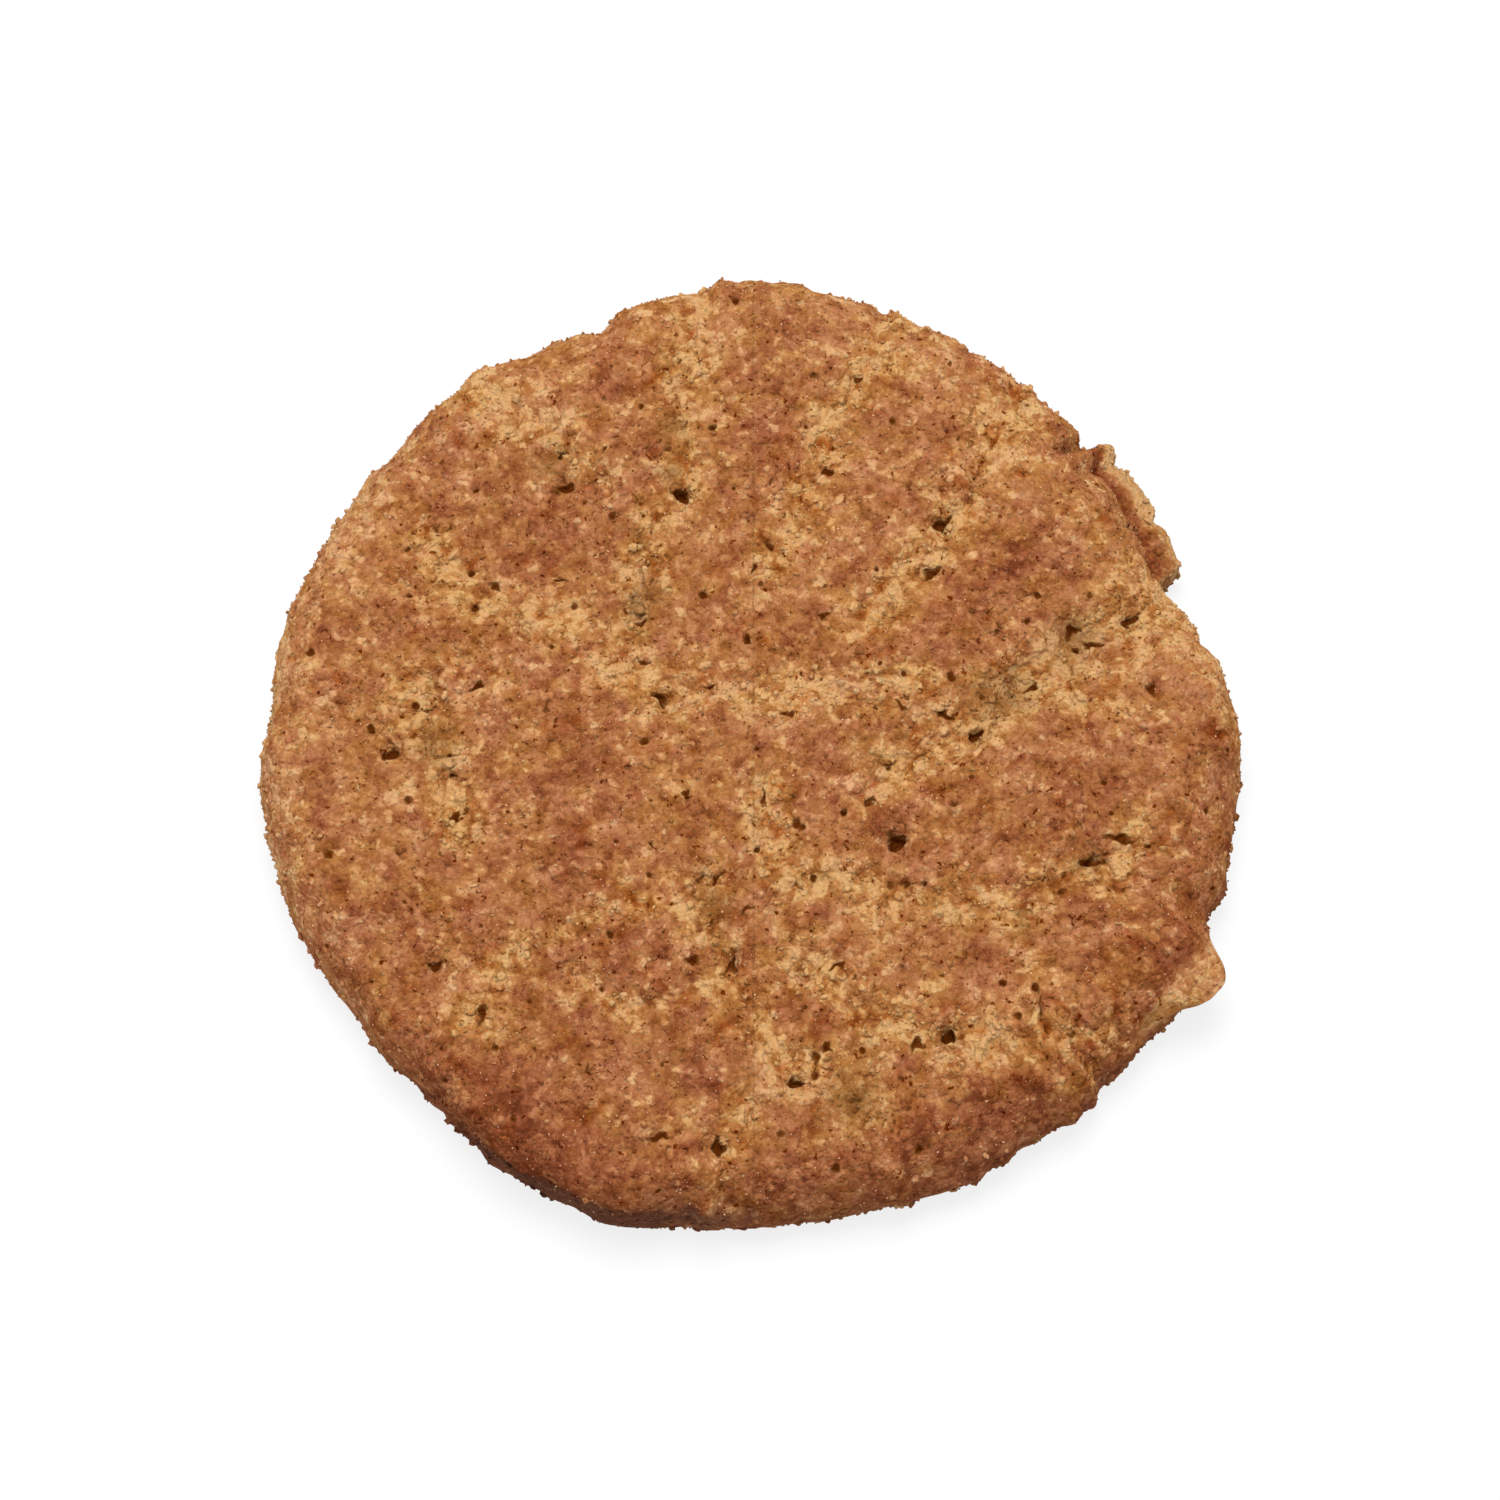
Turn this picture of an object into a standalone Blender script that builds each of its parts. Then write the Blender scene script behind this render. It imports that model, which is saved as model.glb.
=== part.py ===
"""A snickerdoodle: one flat round drop cookie with a cracked, crumbly top.

The cookie is a single solid. It starts as a subdivided cube whose top becomes the
cookie's top, whose four sides become its rounded edge and whose bottom becomes the
flat sole. Furrows, pits and crumbly lumps are then pushed along its normals.
Lengths are in millimetres up to the last step, which makes the mesh in metres.
+Z is up, and the origin is the middle of the footprint, on the table.
"""
import math
from itertools import product

import bmesh
import bpy
import numpy as np

MM = 0.001

# Driving dimensions of the cookie, in millimetres
RADIUS = 42.6
CENTRE_HEIGHT = 10.8
RIM_HEIGHT = 9.7
BELLY_HEIGHT = 3.0
SHOULDER_REACH = 6.8
SHOULDER_POWER = 2.3
SOLE_REACH = 1.2
SOLE_POWER = 2.2

# Dents and bulges of the outline: direction in degrees, reach, half width in degrees
OUTLINE_LOBES = [
    (25, -3.7, 16),
    (48, -1.1, 14),
    (88, 1.2, 9),
    (114, -1.2, 8),
    (140, -0.9, 14),
    (188, 0.3, 12),
    (220, -1.1, 15),
    (252, 1.2, 12),
    (354, -0.2, 14),
]

# The edge is steeper to the lower left: direction, change of the shoulder's reach, half width
STEEP_SIDE = (243, -3.6, 30)

# Thin flap of crust that stands out at the lower right
FLAP_DIRECTION = 329
FLAP_HALF_WIDTH = 5.0
FLAP_REACH = 3.7
FLAP_LEVEL = 6.6
FLAP_HALF_THICKNESS = 1.7

# Low foot of spread dough at the upper right, which ends abruptly at its right end
FOOT_START = 22
FOOT_FULL = 24
FOOT_FADES = 38
FOOT_END = 48
FOOT_REACH = 2.6
FOOT_TOP = 4.2
FOOT_EDGE = 2.2

# Furrows between the plates of the top: start, middle, end, half width, depth
FURROWS = [
    ((11.5, -5.5), (21.5, 1.5), (34.0, 10.5), 2.7, 1.7),
    ((10.5, 10.0), (18.0, 20.0), (24.0, 31.0), 2.0, 1.0),
    ((2.5, 14.0), (7.0, 27.5), (13.0, 38.5), 2.0, 0.9),
    ((-5.0, 39.5), (-6.0, 30.0), (-6.0, 21.0), 1.8, 0.8),
    ((-9.5, 16.5), (-10.5, 9.0), (-8.5, 2.5), 2.1, 1.0),
    ((-23.0, 30.5), (-17.0, 25.5), (-13.5, 22.5), 2.0, 1.0),
    ((-28.0, 17.0), (-24.0, 11.0), (-16.5, 9.5), 1.8, 0.7),
    ((-28.0, 3.0), (-27.0, -4.0), (-25.0, -10.5), 2.0, 0.8),
    ((-12.0, 5.0), (0.0, 2.0), (13.5, 3.0), 1.9, 0.8),
    ((1.0, -6.0), (2.0, -13.5), (9.5, -15.0), 1.7, 0.8),
    ((9.5, -15.0), (21.5, -16.5), (32.5, -11.0), 1.9, 0.9),
    ((4.0, -21.5), (19.0, -29.0), (35.5, -25.5), 2.3, 1.0),
    ((-4.0, -14.5), (-1.0, -25.0), (9.0, -34.5), 2.0, 0.9),
    ((-11.0, -17.0), (-18.0, -21.0), (-24.0, -26.0), 1.8, 0.7),
    ((-14.5, -23.5), (-10.0, -25.5), (-4.5, -23.5), 1.4, 0.9),
    ((-1.0, -35.5), (-2.0, -39.0), (-2.0, -42.0), 1.6, 0.8),
]
FURROW_STEPS = 12

# How far the furrows wander and how ragged their sides are: amount, size, seeds
FURROW_WANDER = (2.4, 4.5, 21, 22)
FURROW_RAGGED = (0.8, 3.2, 23)

# The widest pits: place on the top, radius, depth
PITS = [
    ((-17.0, 25.5), 1.4, 1.3),
    ((-16.0, 22.0), 1.4, 1.2),
    ((-6.0, 21.0), 1.2, 1.2),
    ((16.5, 18.5), 1.3, 1.1),
    ((15.0, 14.0), 1.3, 1.0),
    ((27.9, 8.6), 1.7, 1.5),
    ((32.8, 10.2), 1.3, 1.2),
    ((22.3, 3.3), 1.3, 1.2),
    ((19.3, -1.3), 1.2, 1.0),
    ((12.1, -11.0), 1.2, 1.2),
    ((29.0, -12.2), 1.5, 1.1),
    ((-9.5, 10.0), 1.5, 1.1),
    ((-7.5, 1.5), 1.3, 1.0),
    ((-31.0, -2.6), 1.2, 0.9),
    ((-25.7, -5.0), 1.2, 0.9),
    ((-9.3, -11.8), 1.2, 0.9),
    ((-3.2, -14.4), 1.2, 1.1),
    ((-1.7, -21.3), 1.3, 1.1),
    ((16.3, -27.8), 1.2, 1.0),
    ((3.8, -32.0), 1.2, 0.9),
    ((-2.9, -37.2), 1.3, 1.0),
    ((-27.0, -21.6), 1.2, 0.9),
]

# Lumps of the crumb, coarse to fine: size, height, seed
LUMPS = [
    (13.0, 0.55, 11),
    (5.5, 0.50, 12),
    (2.7, 0.42, 13),
]

# The relief fades out over this height above the flat sole, and stays this clear of the table
RELIEF_FADE = 2.4
TABLE_GAP = 0.05

# Furrows and pits fade in over the shoulder, up to this far below the rim
FURROW_FADE = 1.5

# How finely the solid is divided
TOP_CELLS = 54
SHOULDER_ROWS = 8
SOLE_ROWS = 3

COOKIE_COLOUR = (0.42, 0.17, 0.06, 1.0)
COOKIE_ROUGHNESS = 0.85


def clear_scene():
    for item in list(bpy.data.objects):
        bpy.data.objects.remove(item, do_unlink=True)


def smooth_step(value, low, high):
    """0 below low, 1 above high, and an S curve between them."""
    part = np.clip((value - low) / (high - low), 0.0, 1.0)
    return part * part * (3.0 - 2.0 * part)


def bell(distance, half_width):
    """1 at distance 0, falling off as a bell curve of this half width."""
    return np.exp(-(distance / half_width) ** 2)


def turn_between(angle, direction):
    """Signed turn in degrees from a direction to each angle, between -180 and 180."""
    return (angle - direction + 180.0) % 360.0 - 180.0


def soft_noise(points, size, seed):
    """Gradient noise with lumps of this size: about -0.5 to 0.5, the same for the same seed."""
    rng = np.random.default_rng(seed)
    order = rng.permutation(256)
    arrows = rng.normal(size=(256, 3))
    arrows /= np.linalg.norm(arrows, axis=1, keepdims=True)
    place = points / size
    cell = np.floor(place).astype(int)
    inside = place - cell
    fade = inside ** 3 * (inside * (inside * 6.0 - 15.0) + 10.0)
    total = np.zeros(len(points))
    for corner in product((0, 1), repeat=3):
        node = cell + corner
        pick = order[node[:, 0] & 255]
        pick = order[(pick + node[:, 1]) & 255]
        pick = order[(pick + node[:, 2]) & 255]
        share = np.where(corner, fade, 1.0 - fade).prod(axis=1)
        total += share * np.einsum("ij,ij->i", arrows[pick], inside - corner)
    return total


def outline_radius(angle):
    """The cookie's widest radius in each direction."""
    radius = np.full(angle.shape, RADIUS)
    for direction, reach, half_width in OUTLINE_LOBES:
        radius = radius + reach * bell(turn_between(angle, direction), half_width)
    return radius


def shoulder_reach(angle):
    """How far in from the widest line the top starts to round over."""
    direction, change, half_width = STEEP_SIDE
    return SHOULDER_REACH + change * bell(turn_between(angle, direction), half_width)


def edge_extra(angle, height):
    """Radius that the flap and the foot add to the edge at each angle and height."""
    flap = FLAP_REACH * bell(turn_between(angle, FLAP_DIRECTION), FLAP_HALF_WIDTH)
    flap = flap * bell(height - FLAP_LEVEL, FLAP_HALF_THICKNESS)
    rise = smooth_step(angle, FOOT_START, FOOT_FULL)
    fall = 1.0 - smooth_step(angle, FOOT_FADES, FOOT_END)
    below = 1.0 - smooth_step(height, FOOT_TOP, FOOT_TOP + FOOT_EDGE)
    return flap + FOOT_REACH * rise * fall * below


def square_to_disc(across, along):
    """Radius 0 to 1 and angle in degrees for points of a square, keeping equal areas."""
    flat = np.abs(across) >= np.abs(along)
    longer = np.where(flat, across, along)
    share = np.abs(longer)
    slant = 45.0 * np.where(flat, along, across) / np.where(share > 0.0, longer, 1.0)
    angle = np.where(flat, slant, 90.0 - slant) + np.where(longer < 0.0, 180.0, 0.0)
    return share, angle % 360.0


def edge_profile(drop):
    """Inset share and height share along the edge: 0 at the top's rim, 1 at the sole.

    The shoulder is a quarter of a superellipse down to the belly, and the sole
    turns under in a smaller quarter.
    """
    split = SHOULDER_ROWS / (SHOULDER_ROWS + SOLE_ROWS)
    upper = np.clip(drop / split, 0.0, 1.0) * math.pi / 2.0
    lower = np.clip((drop - split) / (1.0 - split), 0.0, 1.0) * math.pi / 2.0
    shoulder_in = 1.0 - np.sin(upper) ** (2.0 / SHOULDER_POWER)
    shoulder_up = np.maximum(np.cos(upper), 0.0) ** (2.0 / SHOULDER_POWER)
    sole_in = 1.0 - np.maximum(np.cos(lower), 0.0) ** (2.0 / SOLE_POWER)
    sole_down = np.sin(lower) ** (2.0 / SOLE_POWER)
    return shoulder_in, shoulder_up, sole_in, sole_down


def smooth_cookie(block):
    """Places on the cookie without relief for the points of the block."""
    share, angle = square_to_disc(block[:, 0], block[:, 1])
    shoulder_in, shoulder_up, sole_in, sole_down = edge_profile(1.0 - block[:, 2])
    dome = (CENTRE_HEIGHT - RIM_HEIGHT) * (1.0 - share ** 2)
    height = BELLY_HEIGHT * (1.0 - sole_down) + (RIM_HEIGHT - BELLY_HEIGHT) * shoulder_up + dome
    height = np.where(block[:, 2] <= 0.0, 0.0, height)
    edge = outline_radius(angle) - shoulder_reach(angle) * shoulder_in - SOLE_REACH * sole_in
    edge += np.where(share >= 1.0, edge_extra(angle, height), 0.0)
    radius = share * edge
    turn = np.radians(angle)
    return np.column_stack([radius * np.cos(turn), radius * np.sin(turn), height])


def curve_through(start, middle, end):
    """Points along the parabola that passes its middle point half way."""
    step = np.linspace(0.0, 1.0, FURROW_STEPS + 1)[:, None]
    first = (1.0 - step) * (1.0 - 2.0 * step) * np.array(start)
    second = 4.0 * step * (1.0 - step) * np.array(middle)
    third = step * (2.0 * step - 1.0) * np.array(end)
    return first + second + third


def distance_to_curve(flat_points, curve):
    """Shortest distance from each point to the run of short straight lines."""
    begin = curve[:-1]
    run = curve[1:] - begin
    offset = flat_points[:, None, :] - begin[None, :, :]
    along = np.clip((offset * run).sum(axis=2) / (run * run).sum(axis=1), 0.0, 1.0)
    gap = offset - along[:, :, None] * run
    return np.sqrt((gap * gap).sum(axis=2)).min(axis=1)


def furrow_depth(points):
    """Depth of the furrows, whose lines wander a little so that none runs straight."""
    amount, size, seed_across, seed_along = FURROW_WANDER
    sideways = [soft_noise(points, size, seed_across), soft_noise(points, size, seed_along)]
    flat_points = points[:, :2] + amount * np.column_stack(sideways)
    amount, size, seed = FURROW_RAGGED
    ragged = 1.0 + amount * soft_noise(points, size, seed)
    depth = np.zeros(len(points))
    for start, middle, end, half_width, deep in FURROWS:
        distance = distance_to_curve(flat_points, curve_through(start, middle, end))
        depth = np.maximum(depth, deep * bell(distance, half_width * ragged))
    return depth


def pit_depth(points):
    depth = np.zeros(len(points))
    for place, radius, deep in PITS:
        distance = np.hypot(points[:, 0] - place[0], points[:, 1] - place[1])
        depth = np.maximum(depth, deep * bell(distance, radius))
    return depth


def relief(points):
    """How far the crumbly surface stands out of the smooth cookie at each point."""
    rise = np.zeros(len(points))
    for size, height, seed in LUMPS:
        rise += height * soft_noise(points, size, seed)
    on_top = smooth_step(points[:, 2], BELLY_HEIGHT, RIM_HEIGHT - FURROW_FADE)
    rise -= on_top * (furrow_depth(points) + pit_depth(points))
    return rise * smooth_step(points[:, 2], 0.0, RELIEF_FADE)


def divided_block():
    """A block from -1 to 1 across and 0 to 1 high, cut into the cells of the cookie."""
    block = bmesh.new()
    bmesh.ops.create_cube(block, size=2.0)
    for vertex in block.verts:
        vertex.co.z = (vertex.co.z + 1.0) / 2.0
    rows = SHOULDER_ROWS + SOLE_ROWS
    for axis, cells in ((0, TOP_CELLS), (1, TOP_CELLS), (2, rows)):
        edges = []
        for edge in block.edges:
            run = edge.verts[1].co - edge.verts[0].co
            if abs(run[axis]) > 0.5:
                edges.append(edge)
        bmesh.ops.subdivide_edges(block, edges=edges, cuts=cells - 1)
    return block


def move_vertices(mesh, places):
    for vertex, place in zip(mesh.verts, places):
        vertex.co = place


def merge_sole(mesh):
    """Makes the flat sole one face."""
    sole = [face for face in mesh.faces if all(vertex.co.z == 0.0 for vertex in face.verts)]
    bmesh.ops.dissolve_faces(mesh, faces=sole, use_verts=False)


def make_material():
    material = bpy.data.materials.new("baked_dough")
    material.use_nodes = True
    shader = material.node_tree.nodes["Principled BSDF"]
    shader.inputs["Base Color"].default_value = COOKIE_COLOUR
    shader.inputs["Roughness"].default_value = COOKIE_ROUGHNESS
    shader.inputs["Metallic"].default_value = 0.0
    return material


def make_cookie():
    body = divided_block()
    block = np.array([vertex.co[:] for vertex in body.verts])
    smooth = smooth_cookie(block)
    move_vertices(body, smooth)
    body.normal_update()
    normals = np.array([vertex.normal[:] for vertex in body.verts])
    places = smooth + normals * relief(smooth)[:, None]
    places[:, 2] = np.where(block[:, 2] <= 0.0, 0.0, np.maximum(places[:, 2], TABLE_GAP))
    middle = (places.min(axis=0) + places.max(axis=0)) / 2.0
    places[:, :2] -= middle[:2]
    move_vertices(body, places * MM)
    merge_sole(body)
    mesh = bpy.data.meshes.new("cookie")
    body.to_mesh(mesh)
    body.free()
    mesh.materials.append(make_material())
    mesh.shade_smooth()
    return bpy.data.objects.new("cookie", mesh)


def main():
    clear_scene()
    collection = bpy.data.collections.new("snickerdoodle")
    bpy.context.scene.collection.children.link(collection)
    collection.objects.link(make_cookie())


main()
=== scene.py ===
# %% [markdown]
# # A snickerdoodle on a white table
#
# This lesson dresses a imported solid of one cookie. The solid already has the right
# outline, dome, furrows and wide pits. What it lacks is what makes a cookie look
# baked: clods, crumbs and pores, pale crumb in the cracks, a toasted skin and sugar.
# We work the surface out again as numpy arrays, much finer, and keep it inside the
# solid's own box.

# %% The frame
import math
from itertools import product

import bpy
import numpy as np
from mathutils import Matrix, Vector


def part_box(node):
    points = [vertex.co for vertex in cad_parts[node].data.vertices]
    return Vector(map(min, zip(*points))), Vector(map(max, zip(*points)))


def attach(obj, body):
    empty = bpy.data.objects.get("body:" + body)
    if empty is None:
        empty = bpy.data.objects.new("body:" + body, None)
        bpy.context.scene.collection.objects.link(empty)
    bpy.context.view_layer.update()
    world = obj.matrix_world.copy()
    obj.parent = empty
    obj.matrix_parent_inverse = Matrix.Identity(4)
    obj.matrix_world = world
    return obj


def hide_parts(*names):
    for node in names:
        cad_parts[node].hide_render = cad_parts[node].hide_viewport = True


MM_PER_METRE = 1000.0

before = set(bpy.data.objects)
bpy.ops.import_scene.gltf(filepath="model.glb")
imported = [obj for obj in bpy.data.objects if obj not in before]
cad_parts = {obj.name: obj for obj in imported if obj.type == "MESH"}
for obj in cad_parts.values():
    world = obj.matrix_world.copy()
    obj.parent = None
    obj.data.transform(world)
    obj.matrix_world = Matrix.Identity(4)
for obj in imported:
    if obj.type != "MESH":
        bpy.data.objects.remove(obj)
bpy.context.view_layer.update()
cookie_low, cookie_high = (np.array(corner) * MM_PER_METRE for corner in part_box("cookie"))
print("solid, in mm:", cookie_low.round(2), cookie_high.round(2))

# %% [markdown]
# ## Sizes of the form
#
# All shapes below are worked out in millimetres and turned into metres when a mesh is
# made. These are the sizes that the real cookie would give a baker with a ruler: how
# wide and high it is, where its side bulges most, and how round its shoulder is. The
# outline is a circle with a few soft dents and bulges. Two odd spots get values of
# their own: a thin flap of crust and a low foot of dough that spread on the tray.

# %% Sizes of the form
MM = 0.001
RADIUS = 42.6
CENTRE_HEIGHT = 10.8
RIM_HEIGHT = 9.7
BELLY_HEIGHT = 3.0
SHOULDER_REACH = 6.8
SHOULDER_POWER = 2.3
SOLE_REACH = 1.2
SOLE_POWER = 2.2
# Direction in degrees, change of the shoulder's reach, half width in degrees
STEEP_SIDE = (243, -3.6, 30)
RELIEF_FADE = 2.4
FURROW_FADE = 1.5

# Direction in degrees, reach in mm, half width in degrees
OUTLINE_LOBES = [
    (25, -3.7, 16),
    (48, -1.1, 14),
    (88, 1.2, 9),
    (114, -1.2, 8),
    (140, -0.9, 14),
    (188, 0.3, 12),
    (220, -1.1, 15),
    (252, 1.2, 12),
    (354, -0.2, 14),
]
FLAP = {"direction": 329, "half_width": 5.0, "reach": 3.7, "level": 6.6, "half_thickness": 1.7}
FOOT = {"start": 22, "full": 24, "fades": 38, "end": 48, "reach": 2.6, "top": 4.2, "edge": 2.2}
print("about", 2 * RADIUS, "mm across and", CENTRE_HEIGHT, "mm high")

# %% [markdown]
# ## Furrows and pits
#
# As the cookie rises and dries, its top cracks into plates. Each furrow is a parabola
# through three points, with its own width and depth. The wide pits are placed one by
# one, because the eye finds them first. The smaller pores come later.

# %% Furrows and pits
# Start, middle, end, half width, depth
FURROWS = [
    ((11.5, -5.5), (21.5, 1.5), (34.0, 10.5), 2.7, 1.7),
    ((10.5, 10.0), (18.0, 20.0), (24.0, 31.0), 2.0, 1.0),
    ((2.5, 14.0), (7.0, 27.5), (13.0, 38.5), 2.0, 0.9),
    ((-5.0, 39.5), (-6.0, 30.0), (-6.0, 21.0), 1.8, 0.8),
    ((-9.5, 16.5), (-10.5, 9.0), (-8.5, 2.5), 2.1, 1.0),
    ((-23.0, 30.5), (-17.0, 25.5), (-13.5, 22.5), 2.0, 1.0),
    ((-28.0, 17.0), (-24.0, 11.0), (-16.5, 9.5), 1.8, 0.7),
    ((-28.0, 3.0), (-27.0, -4.0), (-25.0, -10.5), 2.0, 0.8),
    ((-12.0, 5.0), (0.0, 2.0), (13.5, 3.0), 1.9, 0.8),
    ((1.0, -6.0), (2.0, -13.5), (9.5, -15.0), 1.7, 0.8),
    ((9.5, -15.0), (21.5, -16.5), (32.5, -11.0), 1.9, 0.9),
    ((4.0, -21.5), (19.0, -29.0), (35.5, -25.5), 2.3, 1.0),
    ((-4.0, -14.5), (-1.0, -25.0), (9.0, -34.5), 2.0, 0.9),
    ((-11.0, -17.0), (-18.0, -21.0), (-24.0, -26.0), 1.8, 0.7),
    ((-14.5, -23.5), (-10.0, -25.5), (-4.5, -23.5), 1.4, 0.9),
    ((-1.0, -35.5), (-2.0, -39.0), (-2.0, -42.0), 1.6, 0.8),
]
FURROW_STEPS = 12
# Amount in mm, size and two seeds of the noise that bends the furrows
FURROW_WANDER = (2.4, 4.5, 21, 22)
# Amount, size and seed of the noise that makes them wider and narrower
FURROW_RAGGED = (0.8, 3.2, 23)
FURROW_SPREAD = 1.15

# Place, radius, depth
PITS = [
    ((-17.0, 25.5), 1.4, 1.3),
    ((-16.0, 22.0), 1.4, 1.2),
    ((-6.0, 21.0), 1.2, 1.2),
    ((16.5, 18.5), 1.3, 1.1),
    ((15.0, 14.0), 1.3, 1.0),
    ((27.9, 8.6), 1.7, 1.5),
    ((32.8, 10.2), 1.3, 1.2),
    ((22.3, 3.3), 1.3, 1.2),
    ((19.3, -1.3), 1.2, 1.0),
    ((12.1, -11.0), 1.2, 1.2),
    ((29.0, -12.2), 1.5, 1.1),
    ((-9.5, 10.0), 1.5, 1.1),
    ((-7.5, 1.5), 1.3, 1.0),
    ((-31.0, -2.6), 1.2, 0.9),
    ((-25.7, -5.0), 1.2, 0.9),
    ((-9.3, -11.8), 1.2, 0.9),
    ((-3.2, -14.4), 1.2, 1.1),
    ((-1.7, -21.3), 1.3, 1.1),
    ((16.3, -27.8), 1.2, 1.0),
    ((3.8, -32.0), 1.2, 0.9),
    ((-2.9, -37.2), 1.3, 1.0),
    ((-27.0, -21.6), 1.2, 0.9),
]
print(len(FURROWS), "furrows and", len(PITS), "wide pits")

# %% [markdown]
# ## Soft steps, bells and noise
#
# Three small tools carry the whole form. A soft step blends from 0 to 1, a bell gives
# a round bump, and gradient noise gives lumps of a chosen size that never repeat. The
# noise is seeded, so the cookie is the same each time.

# %% Soft steps, bells and noise
ARROWS = 256


def smooth_step(value, low, high):
    """0 below low, 1 above high, with the S curve 3t^2 - 2t^3 between them."""
    part = np.clip((value - low) / (high - low), 0.0, 1.0)
    return part * part * (3.0 - 2.0 * part)


def bell(distance, half_width):
    """e to the power of minus the square of distance over half width."""
    return np.exp(-(distance / half_width) ** 2)


def turn_between(angle, direction):
    """Signed turn in degrees from a direction to each angle, between -180 and 180."""
    return (angle - direction + 180.0) % 360.0 - 180.0


def soft_noise(points, size, seed):
    """Gradient noise, about -0.5 to 0.5.

    Each corner of a lattice with this cell size holds a random arrow. A point takes the
    sum, over its cell's eight corners, of arrow times way to the corner, blended by the
    curve 6t^5 - 15t^4 + 10t^3 on each axis.
    """
    rng = np.random.default_rng(seed)
    order = rng.permutation(ARROWS)
    arrows = rng.normal(size=(ARROWS, 3))
    arrows /= np.linalg.norm(arrows, axis=1, keepdims=True)
    place = points / size
    cell = np.floor(place).astype(int)
    inside = place - cell
    fade = inside ** 3 * (inside * (inside * 6.0 - 15.0) + 10.0)
    total = np.zeros(len(points))
    for corner in product((0, 1), repeat=3):
        node = cell + corner
        pick = order[node[:, 0] % ARROWS]
        pick = order[(pick + node[:, 1]) % ARROWS]
        pick = order[(pick + node[:, 2]) % ARROWS]
        share = np.where(corner, fade, 1.0 - fade).prod(axis=1)
        total += share * np.einsum("ij,ij->i", arrows[pick], inside - corner)
    return total


# %% [markdown]
# ## Lumps that meet in creases
#
# Crumb isn't waves: it is clods pressed together, with creases where they meet and
# small three-cornered holes where three of them meet. Cellular noise makes just that.
# Space is cut into cells with one random seed point each. The distances from a point
# to its nearest, second and third seed tell us where the tops, creases and corners are.

# %% Lumps that meet in creases
# Shifts and large odd factors that are known to scramble whole numbers well
SCRAMBLES = [(30, 0xBF58476D1CE4E5B9), (27, 0x94D049BB133111EB)]
LAST_SHIFT = 31
AXIS_FACTORS = (73856093, 19349663, 83492791)
SEED_FACTOR = 7919
DRAW_FACTOR = 104729


def mixed(number):
    """Whole numbers scrambled by rounds of shift, exclusive or and a large odd factor."""
    for shift, factor in SCRAMBLES:
        number = (number ^ (number >> np.uint64(shift))) * np.uint64(factor)
    return number ^ (number >> np.uint64(LAST_SHIFT))


def cell_draw(cell, seed, which):
    """A random number from 0 to 1 for each lattice cell, the same for the same seed."""
    x, y, z = (cell[:, axis] * AXIS_FACTORS[axis] for axis in range(3))
    key = (x ^ y ^ z).astype(np.uint64) + np.uint64(seed * SEED_FACTOR + which * DRAW_FACTOR)
    return mixed(mixed(key)) / float(2 ** 64)


def seeds_near(points, size, seed):
    """For the 27 cells round each point: distance to the cell's seed point, and the cell."""
    place = points / size
    home = np.floor(place).astype(np.int64)
    for step in product((-1, 0, 1), repeat=3):
        cell = home + step
        spot = cell + np.column_stack([cell_draw(cell, seed, axis) for axis in range(3)])
        yield np.linalg.norm(spot - place, axis=1) * size, cell


def clods(points, size, seed):
    """Distances to the nearest three seeds, and the nearest one's own random tone."""
    first, second, third = (np.full(len(points), np.inf) for _ in range(3))
    tone = np.zeros(len(points))
    for distance, cell in seeds_near(points, size, seed):
        tone = np.where(distance < first, cell_draw(cell, seed, 3), tone)
        third = np.minimum(third, np.maximum(second, distance))
        second = np.minimum(second, np.maximum(first, distance))
        first = np.minimum(first, distance)
    return first, second, third, tone


def pores(points, size, seed, share, smallest, largest):
    """Scattered holes: 1 - d/2, d being the distance in radii from the seed of a chosen cell.

    The share is how many cells have a hole, and may differ from point to point. Most
    holes are small: the radius goes with the cube of a random number.
    """
    field = np.zeros(len(points))
    for distance, cell in seeds_near(points, size, seed):
        radius = smallest + (largest - smallest) * cell_draw(cell, seed, 4) ** 3
        hole = np.maximum(1.0 - 0.5 * distance / radius, 0.0) * (cell_draw(cell, seed, 5) < share)
        field = np.maximum(field, hole)
    return field


# %% [markdown]
# ## The smooth cookie
#
# A sphere has poles and a plain disc has a centre, and both bunch their faces there. We
# take the top of a box instead, a square grid, and spread it over a disc so that every
# cell keeps the same area. The four sides of the box become the rounded edge.

# %% The smooth cookie
# Rows of points down the edge, above and below its widest line
SHOULDER_ROWS = 24
SOLE_ROWS = 7


def outline_radius(angle):
    """RADIUS plus a bell for each dent or bulge."""
    radius = np.full(angle.shape, RADIUS)
    for direction, reach, half_width in OUTLINE_LOBES:
        radius = radius + reach * bell(turn_between(angle, direction), half_width)
    return radius


def shoulder_reach(angle):
    """How far in from the widest line the top rounds over: less on the steep side."""
    direction, change, half_width = STEEP_SIDE
    return SHOULDER_REACH + change * bell(turn_between(angle, direction), half_width)


def flap_share(angle):
    return bell(turn_between(angle, FLAP["direction"]), FLAP["half_width"])


def foot_share(angle):
    rise = smooth_step(angle, FOOT["start"], FOOT["full"])
    return rise * (1.0 - smooth_step(angle, FOOT["fades"], FOOT["end"]))


def edge_extra(angle, height):
    """What the flap adds round its level, and the foot below its top."""
    flap = FLAP["reach"] * flap_share(angle) * bell(height - FLAP["level"], FLAP["half_thickness"])
    below = 1.0 - smooth_step(height, FOOT["top"], FOOT["top"] + FOOT["edge"])
    return flap + FOOT["reach"] * foot_share(angle) * below


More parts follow.
